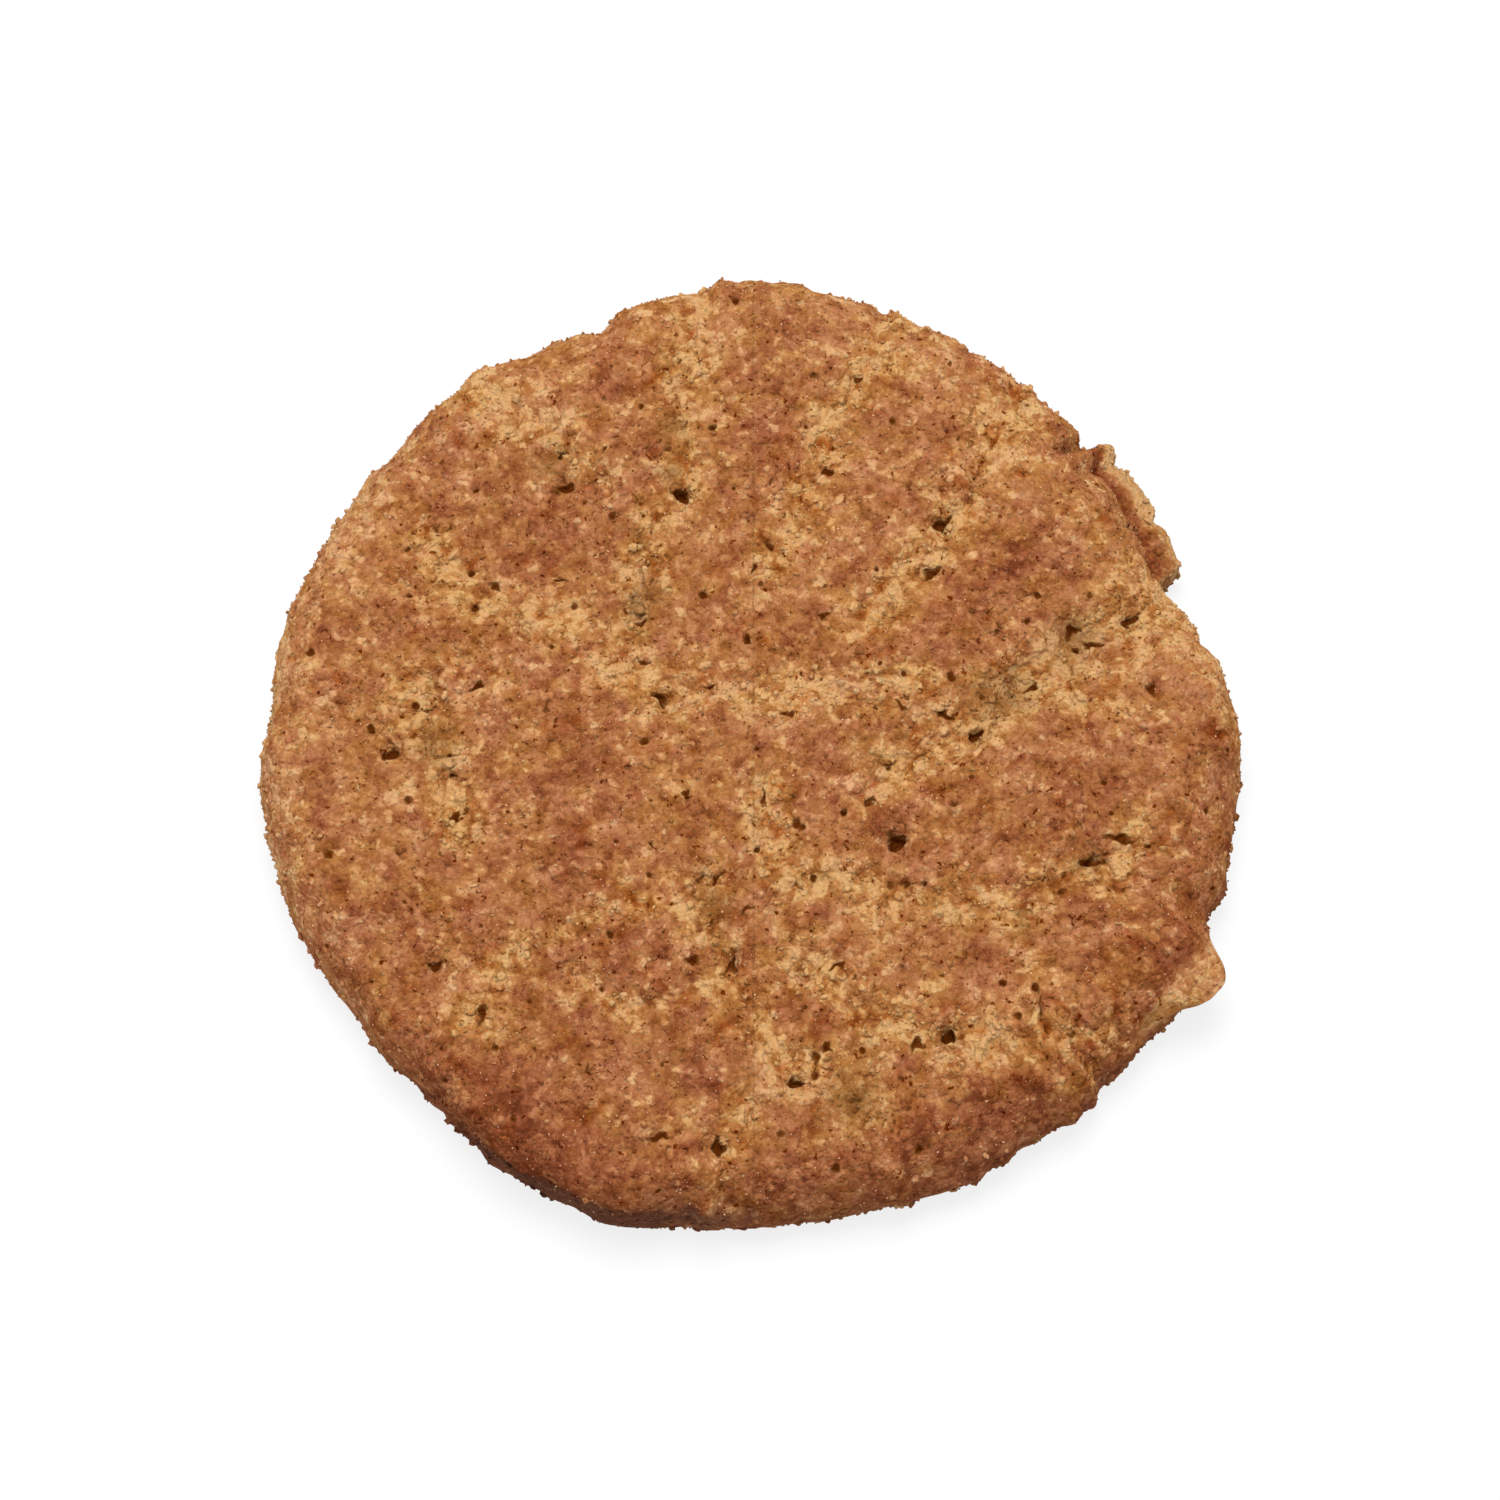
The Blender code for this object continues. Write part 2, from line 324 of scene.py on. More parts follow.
def square_to_disc(across, along):
    """Square to disc: the longer side is the radius, and 45 degrees times the ratio the angle."""
    flat = np.abs(across) >= np.abs(along)
    longer = np.where(flat, across, along)
    share = np.abs(longer)
    slant = 45.0 * np.where(flat, along, across) / np.where(share > 0.0, longer, 1.0)
    angle = np.where(flat, slant, 90.0 - slant) + np.where(longer < 0.0, 180.0, 0.0)
    return share, angle % 360.0


def edge_profile(drop):
    """Two quarter superellipses: the shoulder down to the belly, then the sole's turn."""
    split = SHOULDER_ROWS / (SHOULDER_ROWS + SOLE_ROWS)
    upper = np.clip(drop / split, 0.0, 1.0) * math.pi / 2.0
    lower = np.clip((drop - split) / (1.0 - split), 0.0, 1.0) * math.pi / 2.0
    shoulder_in = 1.0 - np.sin(upper) ** (2.0 / SHOULDER_POWER)
    shoulder_up = np.maximum(np.cos(upper), 0.0) ** (2.0 / SHOULDER_POWER)
    sole_in = 1.0 - np.maximum(np.cos(lower), 0.0) ** (2.0 / SOLE_POWER)
    sole_down = np.sin(lower) ** (2.0 / SOLE_POWER)
    return shoulder_in, shoulder_up, sole_in, sole_down


def smooth_cookie(block):
    """Height is dome plus profile, radius is outline less inset, turned by the angle."""
    share, angle = square_to_disc(block[:, 0], block[:, 1])
    shoulder_in, shoulder_up, sole_in, sole_down = edge_profile(1.0 - block[:, 2])
    dome = (CENTRE_HEIGHT - RIM_HEIGHT) * (1.0 - share ** 2)
    height = BELLY_HEIGHT * (1.0 - sole_down) + (RIM_HEIGHT - BELLY_HEIGHT) * shoulder_up + dome
    height = np.where(block[:, 2] <= 0.0, 0.0, height)
    edge = outline_radius(angle) - shoulder_reach(angle) * shoulder_in - SOLE_REACH * sole_in
    edge += np.where(share >= 1.0, edge_extra(angle, height), 0.0)
    turn = np.radians(angle)
    return np.column_stack([share * edge * np.cos(turn), share * edge * np.sin(turn), height])


# %% [markdown]
# ## The grid of the cookie
#
# The grid is a box without cells inside: a square of points for the top, rows of points
# round the four sides, and a coarse square for the sole, which is flat and needs few.
# Strips of many-sided faces join the fine rim to the coarse sole, so the mesh is closed.

# %% The grid of the cookie
TOP_CELLS = 380
# One cell of the sole is as wide as this many of the top, and leaves a strip round it
SOLE_STEP = 10
SOLE_INSET = 0.97


def rim_walk(cells):
    """Grid columns and rows of a square's border, once round against the clock."""
    run = np.arange(cells)
    columns = np.concatenate([run * 0 + cells, cells - run, run * 0, run])
    rows = np.concatenate([run, run * 0 + cells, cells - run, run * 0])
    return columns, rows


def square_grid(cells, low, high):
    """Points of a square grid from low to high, and its cells as four corners each."""
    line = np.linspace(low, high, cells + 1)
    across, along = np.meshgrid(line, line, indexing="ij")
    number = np.arange((cells + 1) ** 2).reshape(cells + 1, cells + 1)
    corners = [number[:-1, :-1], number[1:, :-1], number[1:, 1:], number[:-1, 1:]]
    return across.ravel(), along.ravel(), number, np.stack(corners, axis=2).reshape(-1, 4)


def block_grid():
    """Points, quads and many-sided faces of the box, and which points are on the sole."""
    across, along, number, quads = square_grid(TOP_CELLS, -1.0, 1.0)
    points = [np.column_stack([across, along, np.ones(len(across))])]
    columns, rows = rim_walk(TOP_CELLS)
    ring = number[columns, rows]
    border = points[0][ring]
    count = len(across)
    for row in range(1, SHOULDER_ROWS + SOLE_ROWS + 1):
        level = 1.0 - row / (SHOULDER_ROWS + SOLE_ROWS)
        below = count + np.arange(len(ring))
        points.append(np.column_stack([border[:, :2], np.full(len(ring), level)]))
        strip = [below, np.roll(below, -1), np.roll(ring, -1), ring]
        quads = np.concatenate([quads, np.column_stack(strip)])
        ring = below
        count += len(ring)
    coarse = TOP_CELLS // SOLE_STEP
    across, along, number, sole = square_grid(coarse, -SOLE_INSET, SOLE_INSET)
    points.append(np.column_stack([across, along, np.zeros(len(across))]))
    quads = np.concatenate([quads, sole[:, ::-1] + count])
    columns, rows = rim_walk(coarse)
    inner = number[columns, rows] + count
    strips = []
    for step, near in enumerate(inner):
        outer = np.take(ring, range(step * SOLE_STEP, (step + 1) * SOLE_STEP + 1), mode="wrap")
        strips.append([*outer[::-1], near, inner[(step + 1) % len(inner)]])
    return np.concatenate(points), quads, strips


block, quads, strips = block_grid()
smooth = smooth_cookie(block)
print(len(smooth), "points,", len(quads), "quads,", len(strips), "strips round the sole")

# %% [markdown]
# ## Pushing along the normals
#
# Relief has to stand out from the surface, so on the side it must go sideways and on
# top it must go up. Each face's own direction is the cross product of its diagonals,
# and a point takes the sum of the faces round it.

# %% Pushing along the normals
NEVER_ZERO = 1e-12


def point_normals(points, quads):
    """Unit normals: cross products of the quads' diagonals, added up at their corners."""
    first = points[quads[:, 2]] - points[quads[:, 0]]
    second = points[quads[:, 3]] - points[quads[:, 1]]
    facing = np.cross(first, second)
    total = np.zeros_like(points)
    for corner in range(4):
        for axis in range(3):
            total[:, axis] += np.bincount(quads[:, corner], facing[:, axis], len(points))
    return total / np.maximum(np.linalg.norm(total, axis=1, keepdims=True), NEVER_ZERO)


print("the top faces up:", point_normals(smooth, quads)[len(block) // 4].round(2))

# %% [markdown]
# ## Drawing the furrows
#
# A furrow is where a point is near its curve, so we measure distances. The curve is cut
# into short straight lines, and the shortest distance to any of them counts. Noise moves
# the points first, so that the furrows wander, and swells their width, so that their
# banks are ragged.

# %% Drawing the furrows


def curve_through(start, middle, end):
    """The parabola that passes its middle point half way."""
    step = np.linspace(0.0, 1.0, FURROW_STEPS + 1)[:, None]
    first = (1.0 - step) * (1.0 - 2.0 * step) * np.array(start)
    second = 4.0 * step * (1.0 - step) * np.array(middle)
    third = step * (2.0 * step - 1.0) * np.array(end)
    return first + second + third


def distance_to_curve(flat_points, curve):
    """Shortest distance from each point to the run of short straight lines."""
    nearest = np.full(len(flat_points), np.inf)
    for begin, stop in zip(curve[:-1], curve[1:]):
        run = stop - begin
        offset = flat_points - begin
        along = np.clip(offset @ run / (run @ run), 0.0, 1.0)
        gap = offset - along[:, None] * run
        nearest = np.minimum(nearest, np.einsum("ij,ij->i", gap, gap))
    return np.sqrt(nearest)


def furrow_fields(points):
    """Depth of the furrows, and how much of a furrow each point is in, from 0 to 1."""
    amount, size, seed_across, seed_along = FURROW_WANDER
    sideways = [soft_noise(points, size, seed_across), soft_noise(points, size, seed_along)]
    flat_points = points[:, :2] + amount * np.column_stack(sideways)
    amount, size, seed = FURROW_RAGGED
    ragged = 1.0 + amount * soft_noise(points, size, seed)
    depth = np.zeros(len(points))
    share = np.zeros(len(points))
    for start, middle, end, half_width, deep in FURROWS:
        distance = distance_to_curve(flat_points, curve_through(start, middle, end))
        depth = np.maximum(depth, deep * bell(distance, half_width * ragged))
        share = np.maximum(share, bell(distance, half_width * ragged * FURROW_SPREAD))
    return depth, share


furrow_depth, furrow = furrow_fields(smooth)
print("furrows cover", round(float((furrow > 0.5).mean()), 2), "of the points")

# %% [markdown]
# ## The coarse relief
#
# The coarse relief is the solid's own: slow swells, furrows and wide pits. It fades out
# above the sole, which is flat, and the furrows and pits keep to the top. Added to the
# smooth cookie it gives the bumpy one, and all that is finer is laid on that.

# %% The coarse relief
# Size, height, seed
LUMPS = [
    (13.0, 0.55, 11),
    (5.5, 0.50, 12),
    (2.7, 0.42, 13),
]
# Amount in mm, size and seed of the noise that makes the pits uneven
PIT_WOBBLE = (0.35, 0.9, 31)
PIT_WIDTH = 0.8

on_top = smooth_step(smooth[:, 2], BELLY_HEIGHT, RIM_HEIGHT - FURROW_FADE)
above_sole = smooth_step(smooth[:, 2], 0.0, RELIEF_FADE)
furrow = furrow * on_top
amount, size, seed = PIT_WOBBLE
wobble = amount * soft_noise(smooth, size, seed)
pit = np.zeros(len(smooth))
for place, radius, deep in PITS:
    distance = np.hypot(smooth[:, 0] - place[0], smooth[:, 1] - place[1]) + wobble
    pit = np.maximum(pit, deep * bell(distance, radius * PIT_WIDTH))
swell = sum(height * soft_noise(smooth, size, seed) for size, height, seed in LUMPS)
coarse = (swell - on_top * (furrow_depth + pit)) * above_sole
bumpy = smooth + point_normals(smooth, quads) * coarse[:, None]
print("coarse relief from", coarse.min().round(2), "to", coarse.max().round(2), "mm")

# %% [markdown]
# ## Nubs and pores
#
# Two more things give this cookie its character. Nubs and nicks break its outline, and
# pores opened where bubbles burst. The eye finds them at once, so they are placed and
# not left to chance. A pore has corners, because crumbs stand round it.

# %% Nubs and pores
# Direction in degrees, reach in mm, half width in degrees
NUBS = [
    (12, -0.9, 1.6),
    (22, -0.7, 4.0),
    (30.5, -0.7, 0.9),
    (40, -0.9, 5.0),
    (44, -0.8, 2.0),
    (41.5, 1.1, 1.2),
    (43.5, -1.0, 1.2),
    (39.5, -0.5, 1.2),
    (46, 0.4, 2.0),
    (58, -0.3, 5.0),
    (62, -0.5, 1.2),
    (74, -0.9, 1.2),
    (83, -0.4, 1.2),
    (94, 0.9, 1.2),
    (110, -0.8, 2.0),
    (126, 0.4, 2.0),
    (144, 0.7, 2.0),
    (156, -0.5, 5.0),
    (167, -0.3, 5.0),
    (178, -0.4, 5.0),
    (190, -0.5, 2.0),
    (195, -0.3, 2.0),
    (212, -0.2, 5.0),
    (221, 0.5, 3.2),
    (231, -0.3, 1.2),
    (240, 0.7, 6.0),
    (253, 0.7, 5.0),
    (261, -0.1, 2.0),
    (265, 1.0, 1.2),
    (274, -0.3, 3.2),
    (287, 0.4, 1.2),
    (301, -0.4, 5.0),
    (296, 0.4, 1.2),
    (300, 0.5, 1.2),
    (309, 0.5, 1.2),
    (312, 0.4, 0.9),
    (327, 0.4, 3.2),
    (314, -0.5, 1.2),
    (332, 1.0, 2.0),
    (335, 0.4, 1.2),
    (337, -1.1, 3.0),
    (347, -0.8, 5.0),
    (353, -0.4, 2.0),
]
# Place, radius, how many times longer than wide, direction in degrees
PORES = [
    ((-16.3, 21.8), 0.70, 1.6, 0),
    ((-16.8, 25.1), 0.63, 1.3, 96),
    ((-6.3, 21.1), 0.60, 1.5, 160),
    ((16.5, 18.6), 0.62, 2.6, 47),
    ((15.3, 14.0), 0.62, 1.5, 30),
    ((28.5, -12.4), 0.75, 2.7, 16),
    ((31.0, -10.4), 0.55, 3.2, 0),
    ((9.9, -7.5), 0.42, 2.9, 64),
    ((12.1, -11.0), 0.60, 1.4, 104),
    ((29.3, 7.5), 0.58, 1.9, 3),
    ((27.7, 9.0), 0.50, 1.7, 28),
    ((32.6, 10.0), 0.55, 2.5, 49),
    ((34.0, 3.0), 0.48, 1.5, 97),
    ((24.0, 3.6), 0.45, 2.3, 35),
    ((16.4, 0.8), 0.42, 1.9, 164),
    ((19.0, -0.8), 0.45, 1.9, 10),
    ((22.3, 2.4), 0.34, 1.3, 84),
    ((-1.7, -21.7), 0.58, 2.0, 92),
    ((-16.7, 12.8), 0.40, 3.9, 171),
    ((16.4, -27.9), 0.55, 1.1, 144),
    ((13.7, -28.8), 0.44, 1.5, 60),
    ((-8.1, 2.1), 0.50, 1.8, 141),
    ((-2.8, -37.1), 0.55, 1.5, 115),
    ((3.6, -32.0), 0.60, 2.1, 3),
    ((6.2, -29.2), 0.40, 1.4, 20),
    ((6.4, 23.3), 0.40, 1.2, 37),
    ((7.1, -21.8), 0.42, 2.9, 17),
    ((6.0, 9.5), 0.40, 1.8, 14),
    ((0.9, -7.3), 0.42, 3.3, 88),
    ((-9.7, 9.0), 0.44, 1.8, 42),
    ((-0.4, 7.3), 0.36, 1.6, 120),
    ((0.1, -11.7), 0.36, 3.7, 31),
    ((-5.2, -21.6), 0.40, 2.0, 2),
    ((-7.7, -36.6), 0.44, 2.2, 179),
    ((13.1, -14.7), 0.38, 2.5, 11),
    ((-25.3, -8.7), 0.38, 2.6, 78),
    ((-25.6, -4.9), 0.34, 1.6, 20),
    ((-23.6, 3.0), 0.45, 1.6, 30),
    ((-31.1, -2.8), 0.46, 1.8, 44),
    ((-22.3, 12.3), 0.36, 1.3, 150),
    ((-3.6, 3.0), 0.34, 2.0, 15),
    ((3.0, 0.5), 0.40, 1.7, 176),
    ((-5.7, -6.9), 0.34, 1.4, 60),
    ((-0.5, -17.1), 0.38, 2.0, 35),
    ((-3.2, -14.4), 0.44, 1.6, 70),
    ((-36.0, -11.8), 0.40, 1.4, 104),
    ((1.3, 16.1), 0.34, 2.0, 131),
    ((-12.8, 25.2), 0.34, 3.0, 21),
    ((12.7, 1.2), 0.34, 2.6, 132),
    ((-9.6, 5.5), 0.34, 1.9, 176),
    ((-22.8, -26.2), 0.42, 2.7, 73),
    ((0.1, 14.0), 0.32, 2.7, 78),
    ((-26.8, -21.6), 0.38, 1.7, 18),
]
PORE_CORNERS = 0.32
# Amount in mm, size and seeds of the noise that frays the pores
PORE_WAVER = (0.5, 0.8, (32, 33))


def pore_field(points):
    """1 - d/2, d being the distance in radii of the nearest pore: 0.5 on a pore's border.

    The radius swings three times round by the cosine, so that a pore has corners, and
    noise in the distance frays them.
    """
    amount, size, seeds = PORE_WAVER
    waver = np.column_stack([soft_noise(points, size, seed) for seed in seeds])
    flat_points = points[:, :2] + amount * waver
    field = np.zeros(len(points))
    for number, (place, radius, stretch, direction) in enumerate(PORES):
        turn = math.radians(direction)
        offset = flat_points - place
        along = (offset @ (math.cos(turn), math.sin(turn))) / (radius * stretch ** 0.5)
        across = (offset @ (-math.sin(turn), math.cos(turn))) / (radius / stretch ** 0.5)
        corners = 1.0 + PORE_CORNERS * np.cos(3.0 * np.arctan2(across, along) + number)
        field = np.maximum(field, 1.0 - 0.5 * np.hypot(along, across) * corners)
    return field


print(len(NUBS), "nubs and", len(PORES), "pores")

# %% [markdown]
# ## Flap, foot and lip
#
# Three places are baked unlike the rest: the thin pale flap, the foot of bare dough with
# a crease above it, and a lip of dough that crept out under the crust at the front, dark
# as browned dough and as painted shade.
# Each gets a mask, 1 there and 0 elsewhere, from the angle, the reach and the height on
# the smooth cookie. Noise in the angle and the height gives the lip a ragged border.

# %% Flap, foot and lip
# Where the flap leaves the crust: reach in mm, its bend, and degrees to either side
FLAP_ROOT = {"reach": 41.2, "bend": 1.4, "before": 9.0, "after": 6.0}
FLAP_EDGE = (-0.2, 0.3)
FLAP_UNDERSIDE = (4.0, 5.5)
# Soft borders of the bare foot, in degrees and in mm
FOOT_FIRST, FOOT_LAST = (22.0, 23.5), (41.0, 42.5)
FOOT_INSIDE, FOOT_TOP = (37.0, 38.0), (5.2, 5.7)
FOOT_CREASE = 0.45
LIP = {"start": 228, "full": 243, "fades": 256, "end": 276, "top": 6.8, "drop": 0.25}
LIP_RAGGED = {"degrees": 14.0, "mm": 0.8}
LIP_BORDER, LIP_CREASE = 0.6, 0.5
WALL_BAND = (2.0, 6.5)
RIM_BAND = (4.0, 9.3)

angle = np.degrees(np.arctan2(smooth[:, 1], smooth[:, 0])) % 360.0
reach = np.hypot(smooth[:, 0], smooth[:, 1])
level = smooth[:, 2]

flap_turn = angle - FLAP["direction"]
flap_side = np.where(flap_turn > 0.0, FLAP_ROOT["after"], FLAP_ROOT["before"])
flap_root = FLAP_ROOT["reach"] + FLAP_ROOT["bend"] * (flap_turn / flap_side) ** 2
flap = smooth_step(reach - flap_root, *FLAP_EDGE) * smooth_step(level, *FLAP_UNDERSIDE)

bare = smooth_step(angle, *FOOT_FIRST) * (1.0 - smooth_step(angle, *FOOT_LAST))
bare = bare * smooth_step(reach, *FOOT_INSIDE)
foot = bare * (1.0 - smooth_step(level, *FOOT_TOP))
foot_crease = bare * bell(level - FOOT_TOP[1], FOOT_CREASE)

ragged = soft_noise(smooth, 2.6, 64) + 0.5 * soft_noise(smooth, 1.2, 65)
lip_turn = angle + LIP_RAGGED["degrees"] * ragged
lip_height = level + LIP_RAGGED["mm"] * ragged - LIP["top"]
lip_share = smooth_step(lip_turn, LIP["start"], LIP["full"])
lip_share = lip_share * (1.0 - smooth_step(lip_turn, LIP["fades"], LIP["end"]))
lip = lip_share * (1.0 - smooth_step(lip_height, -LIP_BORDER, LIP_BORDER))
lip_crease = lip_share * bell(lip_height, LIP_CREASE)

wall = 1.0 - smooth_step(level, *WALL_BAND)
rim = 1.0 - smooth_step(level, *RIM_BAND)
print("points on flap, foot and lip:", [int((mask > 0.5).sum()) for mask in (flap, foot, lip)])

# %% [markdown]
# ## Clods, crumbs and meal
#
# Cells of three sizes are laid over each other: clods of two millimetres, crumbs of one
# and meal of half a millimetre. A warp by noise keeps their borders from being straight.
# The mask called loose says how open the dough is: more in the furrows and in chance
# patches, less elsewhere, where the crust has baked smooth.

# %% Clods, crumbs and meal
CLOD_SIZE, CRUMB_SIZE, MEAL_SIZE = 2.3, 1.05, 0.55
# Amount in mm, size and seeds of the warp
WARP = (0.9, 1.3, (41, 42, 43))
CREASE_WIDTH, SMALL_CREASE_WIDTH = 0.35, 0.25
LOOSE = {"base": 0.45, "noise": 0.9, "furrow": 0.5, "least": 0.15, "flap": 0.8}

amount, size, seeds = WARP
warp = np.column_stack([soft_noise(bumpy, size, seed) for seed in seeds]) * amount
first, second, third, clod_tone = clods(bumpy + warp, CLOD_SIZE, 51)
small_first, small_second, _, crumb_tone = clods(bumpy + 0.5 * warp, CRUMB_SIZE, 52)
tiny_first, _, _, grain_tone = clods(bumpy + 0.3 * warp, MEAL_SIZE, 54)
crease = np.exp(-(second - first) / CREASE_WIDTH)
small_crease = np.exp(-(small_second - small_first) / SMALL_CREASE_WIDTH)

open_noise = soft_noise(bumpy, 6.0, 61) + 0.6 * soft_noise(bumpy, 2.6, 62)
loose = LOOSE["base"] + LOOSE["noise"] * open_noise + LOOSE["furrow"] * furrow
loose = np.clip(loose, LOOSE["least"], 1.0) * (1.0 - LOOSE["flap"] * flap)
print("loose, mean", loose.mean().round(2))

# %% [markdown]
# ## Holes
#
# Holes come from three sources, and the strongest wins: the placed pores, small pores
# scattered over cells, and corners where three clods meet and the dough is open. The
# field is 0.5 on a hole's border and grows inwards.

# %% Holes
# Where the third seed is this little farther than the first, in mm, lies a corner
CORNER = {"start": 0.9, "fall": 0.5, "share": 0.78, "furrow": 0.15}
CORNER_OPEN = (0.22, 0.36)
SMALL_PORES = {"cell": 2.0, "share": 0.5, "furrow": 0.2, "smallest": 0.17, "largest": 0.44}

corner = np.clip(CORNER["start"] - (third - first) / CORNER["fall"], 0.0, 1.0)
corner *= smooth_step(open_noise + CORNER["furrow"] * furrow, *CORNER_OPEN)
pore_share = SMALL_PORES["share"] + SMALL_PORES["furrow"] * furrow
pore_sizes = (SMALL_PORES["smallest"], SMALL_PORES["largest"])
small_pores = pores(bumpy + 0.3 * warp, SMALL_PORES["cell"], 53, pore_share, *pore_sizes)
hollow = np.maximum.reduce([pore_field(bumpy), CORNER["share"] * corner, small_pores])
hollow = hollow * on_top * (1.0 - flap)
print("holes cover", round(float((hollow > 0.5).mean()), 3), "of the points")

# %% [markdown]
# ## The fine relief
#
# Each cell has a domed top, a height of its own and a crease round it, and the more
# loose the dough, the higher they are. The holes are cut in, and then the creases of the
# foot and the lip. Last, each height is averaged with its neighbours', because a step
# that is one face wide shades like a grey thread.

# %% The fine relief
# In mm: the dome, what a furrow adds to it, and the most that a cell's chance adds
CLOD_RELIEF = {"dome": 0.32, "furrow": 0.18, "chance": 0.16}
CRUMB_RELIEF = {"dome": 0.38, "furrow": 0.10, "chance": 0.16, "crease": 0.09}
MEAL_RELIEF = {"dome": 0.26, "chance": 0.06}
HOLE_DEPTH = {"shallow": 0.25, "deep": 0.75}
HOLE_BORDER, HOLE_MIDDLE = (0.38, 0.62), (0.7, 1.0)
RIM_CALM = 0.5
FOOT_CREASE_DEPTH, LIP_CREASE_DEPTH = 0.9, 0.3


def softened(values):
    """Each point's value averaged with its neighbours, by way of the faces' means."""
    middles = np.repeat(values[quads].mean(axis=1), 4)
    count = np.bincount(quads.ravel(), minlength=len(values))
    return np.bincount(quads.ravel(), middles, len(values)) / np.maximum(count, 1)


clod_dome = CLOD_RELIEF["dome"] + CLOD_RELIEF["furrow"] * furrow
crumb_dome = CRUMB_RELIEF["dome"] + CRUMB_RELIEF["furrow"] * furrow
fine = clod_dome * loose * (1.0 - crease) + CLOD_RELIEF["chance"] * loose * clod_tone
fine += (
    crumb_dome * loose * (1.0 - small_first / CRUMB_SIZE)
    + CRUMB_RELIEF["chance"] * loose * crumb_tone
    - CRUMB_RELIEF["crease"] * loose * small_crease
)
fine += (
    MEAL_RELIEF["dome"] * loose * (1.0 - tiny_first / MEAL_SIZE)
    + MEAL_RELIEF["chance"] * loose * grain_tone
)
hole_depth = HOLE_DEPTH["shallow"] + HOLE_DEPTH["deep"] * smooth_step(hollow, *HOLE_MIDDLE)
fine -= hole_depth * smooth_step(hollow, *HOLE_BORDER)
fine *= 1.0 - RIM_CALM * rim
fine -= FOOT_CREASE_DEPTH * foot_crease + LIP_CREASE_DEPTH * lip_crease + LIP["drop"] * lip
fine = softened(fine) * above_sole
print("fine relief from", fine.min().round(2), "to", fine.max().round(2), "mm")

# %% [markdown]
# ## Gaps between the crumbs
#
# Light hardly gets into the gaps between crumbs. A mask for them lets the material
# darken them: high where a crumb's own seed is far, in patches that noise picks.

# %% Gaps between the crumbs
# Share of painted shade in the creases, and in the gaps of crumbs and of meal, with
# where those start, and in the creases of the foot and the lip
GAP_SHADE_SHARES = {"crease": 0.35, "crumb": 0.75, "meal": 0.25, "foot": 0.4, "lip": 0.3}
CRUMB_GAP, MEAL_GAP = (0.42, 0.85), (0.22, 0.42)

patchy = smooth_step(soft_noise(bumpy, 1.8, 63), -0.25, 0.35)
cavity_shade = (
    GAP_SHADE_SHARES["crease"] * crease
    + GAP_SHADE_SHARES["crumb"] * smooth_step(small_first, *CRUMB_GAP)
    + GAP_SHADE_SHARES["meal"] * smooth_step(tiny_first, *MEAL_GAP)
)
# The creases of the foot and the lip are darkened too, as painted shade
gap = loose * cavity_shade * patchy * on_top + GAP_SHADE_SHARES["foot"] * foot_crease + GAP_SHADE_SHARES["lip"] * lip_crease
gap = np.clip(gap, 0.0, 1.0)
print("gap, mean", gap.mean().round(3))

# %% [markdown]
# ## The rough cookie
#
# The fine relief goes out along the normals of the bumpy cookie. The nubs then push the
# rim outwards, away from the middle, and the sole is made flat again.

# %% The rough cookie
NUB_BASE = 0.22
NUB_REACH = (35.0, 40.0)
LOWEST = 0.05

rough = bumpy + point_normals(bumpy, quads) * (fine - fine.mean())[:, None]
nub = sum(out * bell(turn_between(angle, direction), width) for direction, out, width in NUBS)
nub = (nub + NUB_BASE) * smooth_step(reach, *NUB_REACH) * above_sole
rough[:, :2] *= (1.0 + nub / np.maximum(reach, 1.0))[:, None]
rough[:, 2] = np.where(block[:, 2] <= 0.0, 0.0, np.maximum(rough[:, 2], LOWEST))
print("rough cookie, in mm:", rough.min(axis=0).round(2), rough.max(axis=0).round(2))

# %% [markdown]
# ## Keeping to the solid's box
#
# The pack, the checks and any box or shelf know the solid and not this surface. So the
# coarse relief, which is the solid's own, is laid on the solid's box. The few fine
# peaks that would pass it are held back, less a margin for the grains that stand proud.

# %% Keeping to the solid's box
GRAIN_MARGIN = np.array([0.10, 0.10, 0.06])
SOLE_MARGIN = GRAIN_MARGIN * (1.0, 1.0, 0.0)


def fit_to_box(points, like, low, high):
    """Points scaled and moved on each axis so that the box of like goes from low to high."""
    from_low, from_high = like.min(axis=0), like.max(axis=0)
    return low + (points - from_low) * (high - low) / (from_high - from_low)


surface = fit_to_box(rough, bumpy, cookie_low, cookie_high)
surface = np.clip(surface, cookie_low + SOLE_MARGIN, cookie_high - GRAIN_MARGIN)
normals = point_normals(surface, quads)
print("surface, in mm:", surface.min(axis=0).round(2), surface.max(axis=0).round(2))

# %% [markdown]
# ## Patches and spots
#
# Toasted patches, pale grains and damp spots that catch the eye are placed. Each is a
# bell round its place, with a border that noise bends, so that none looks like a disc.

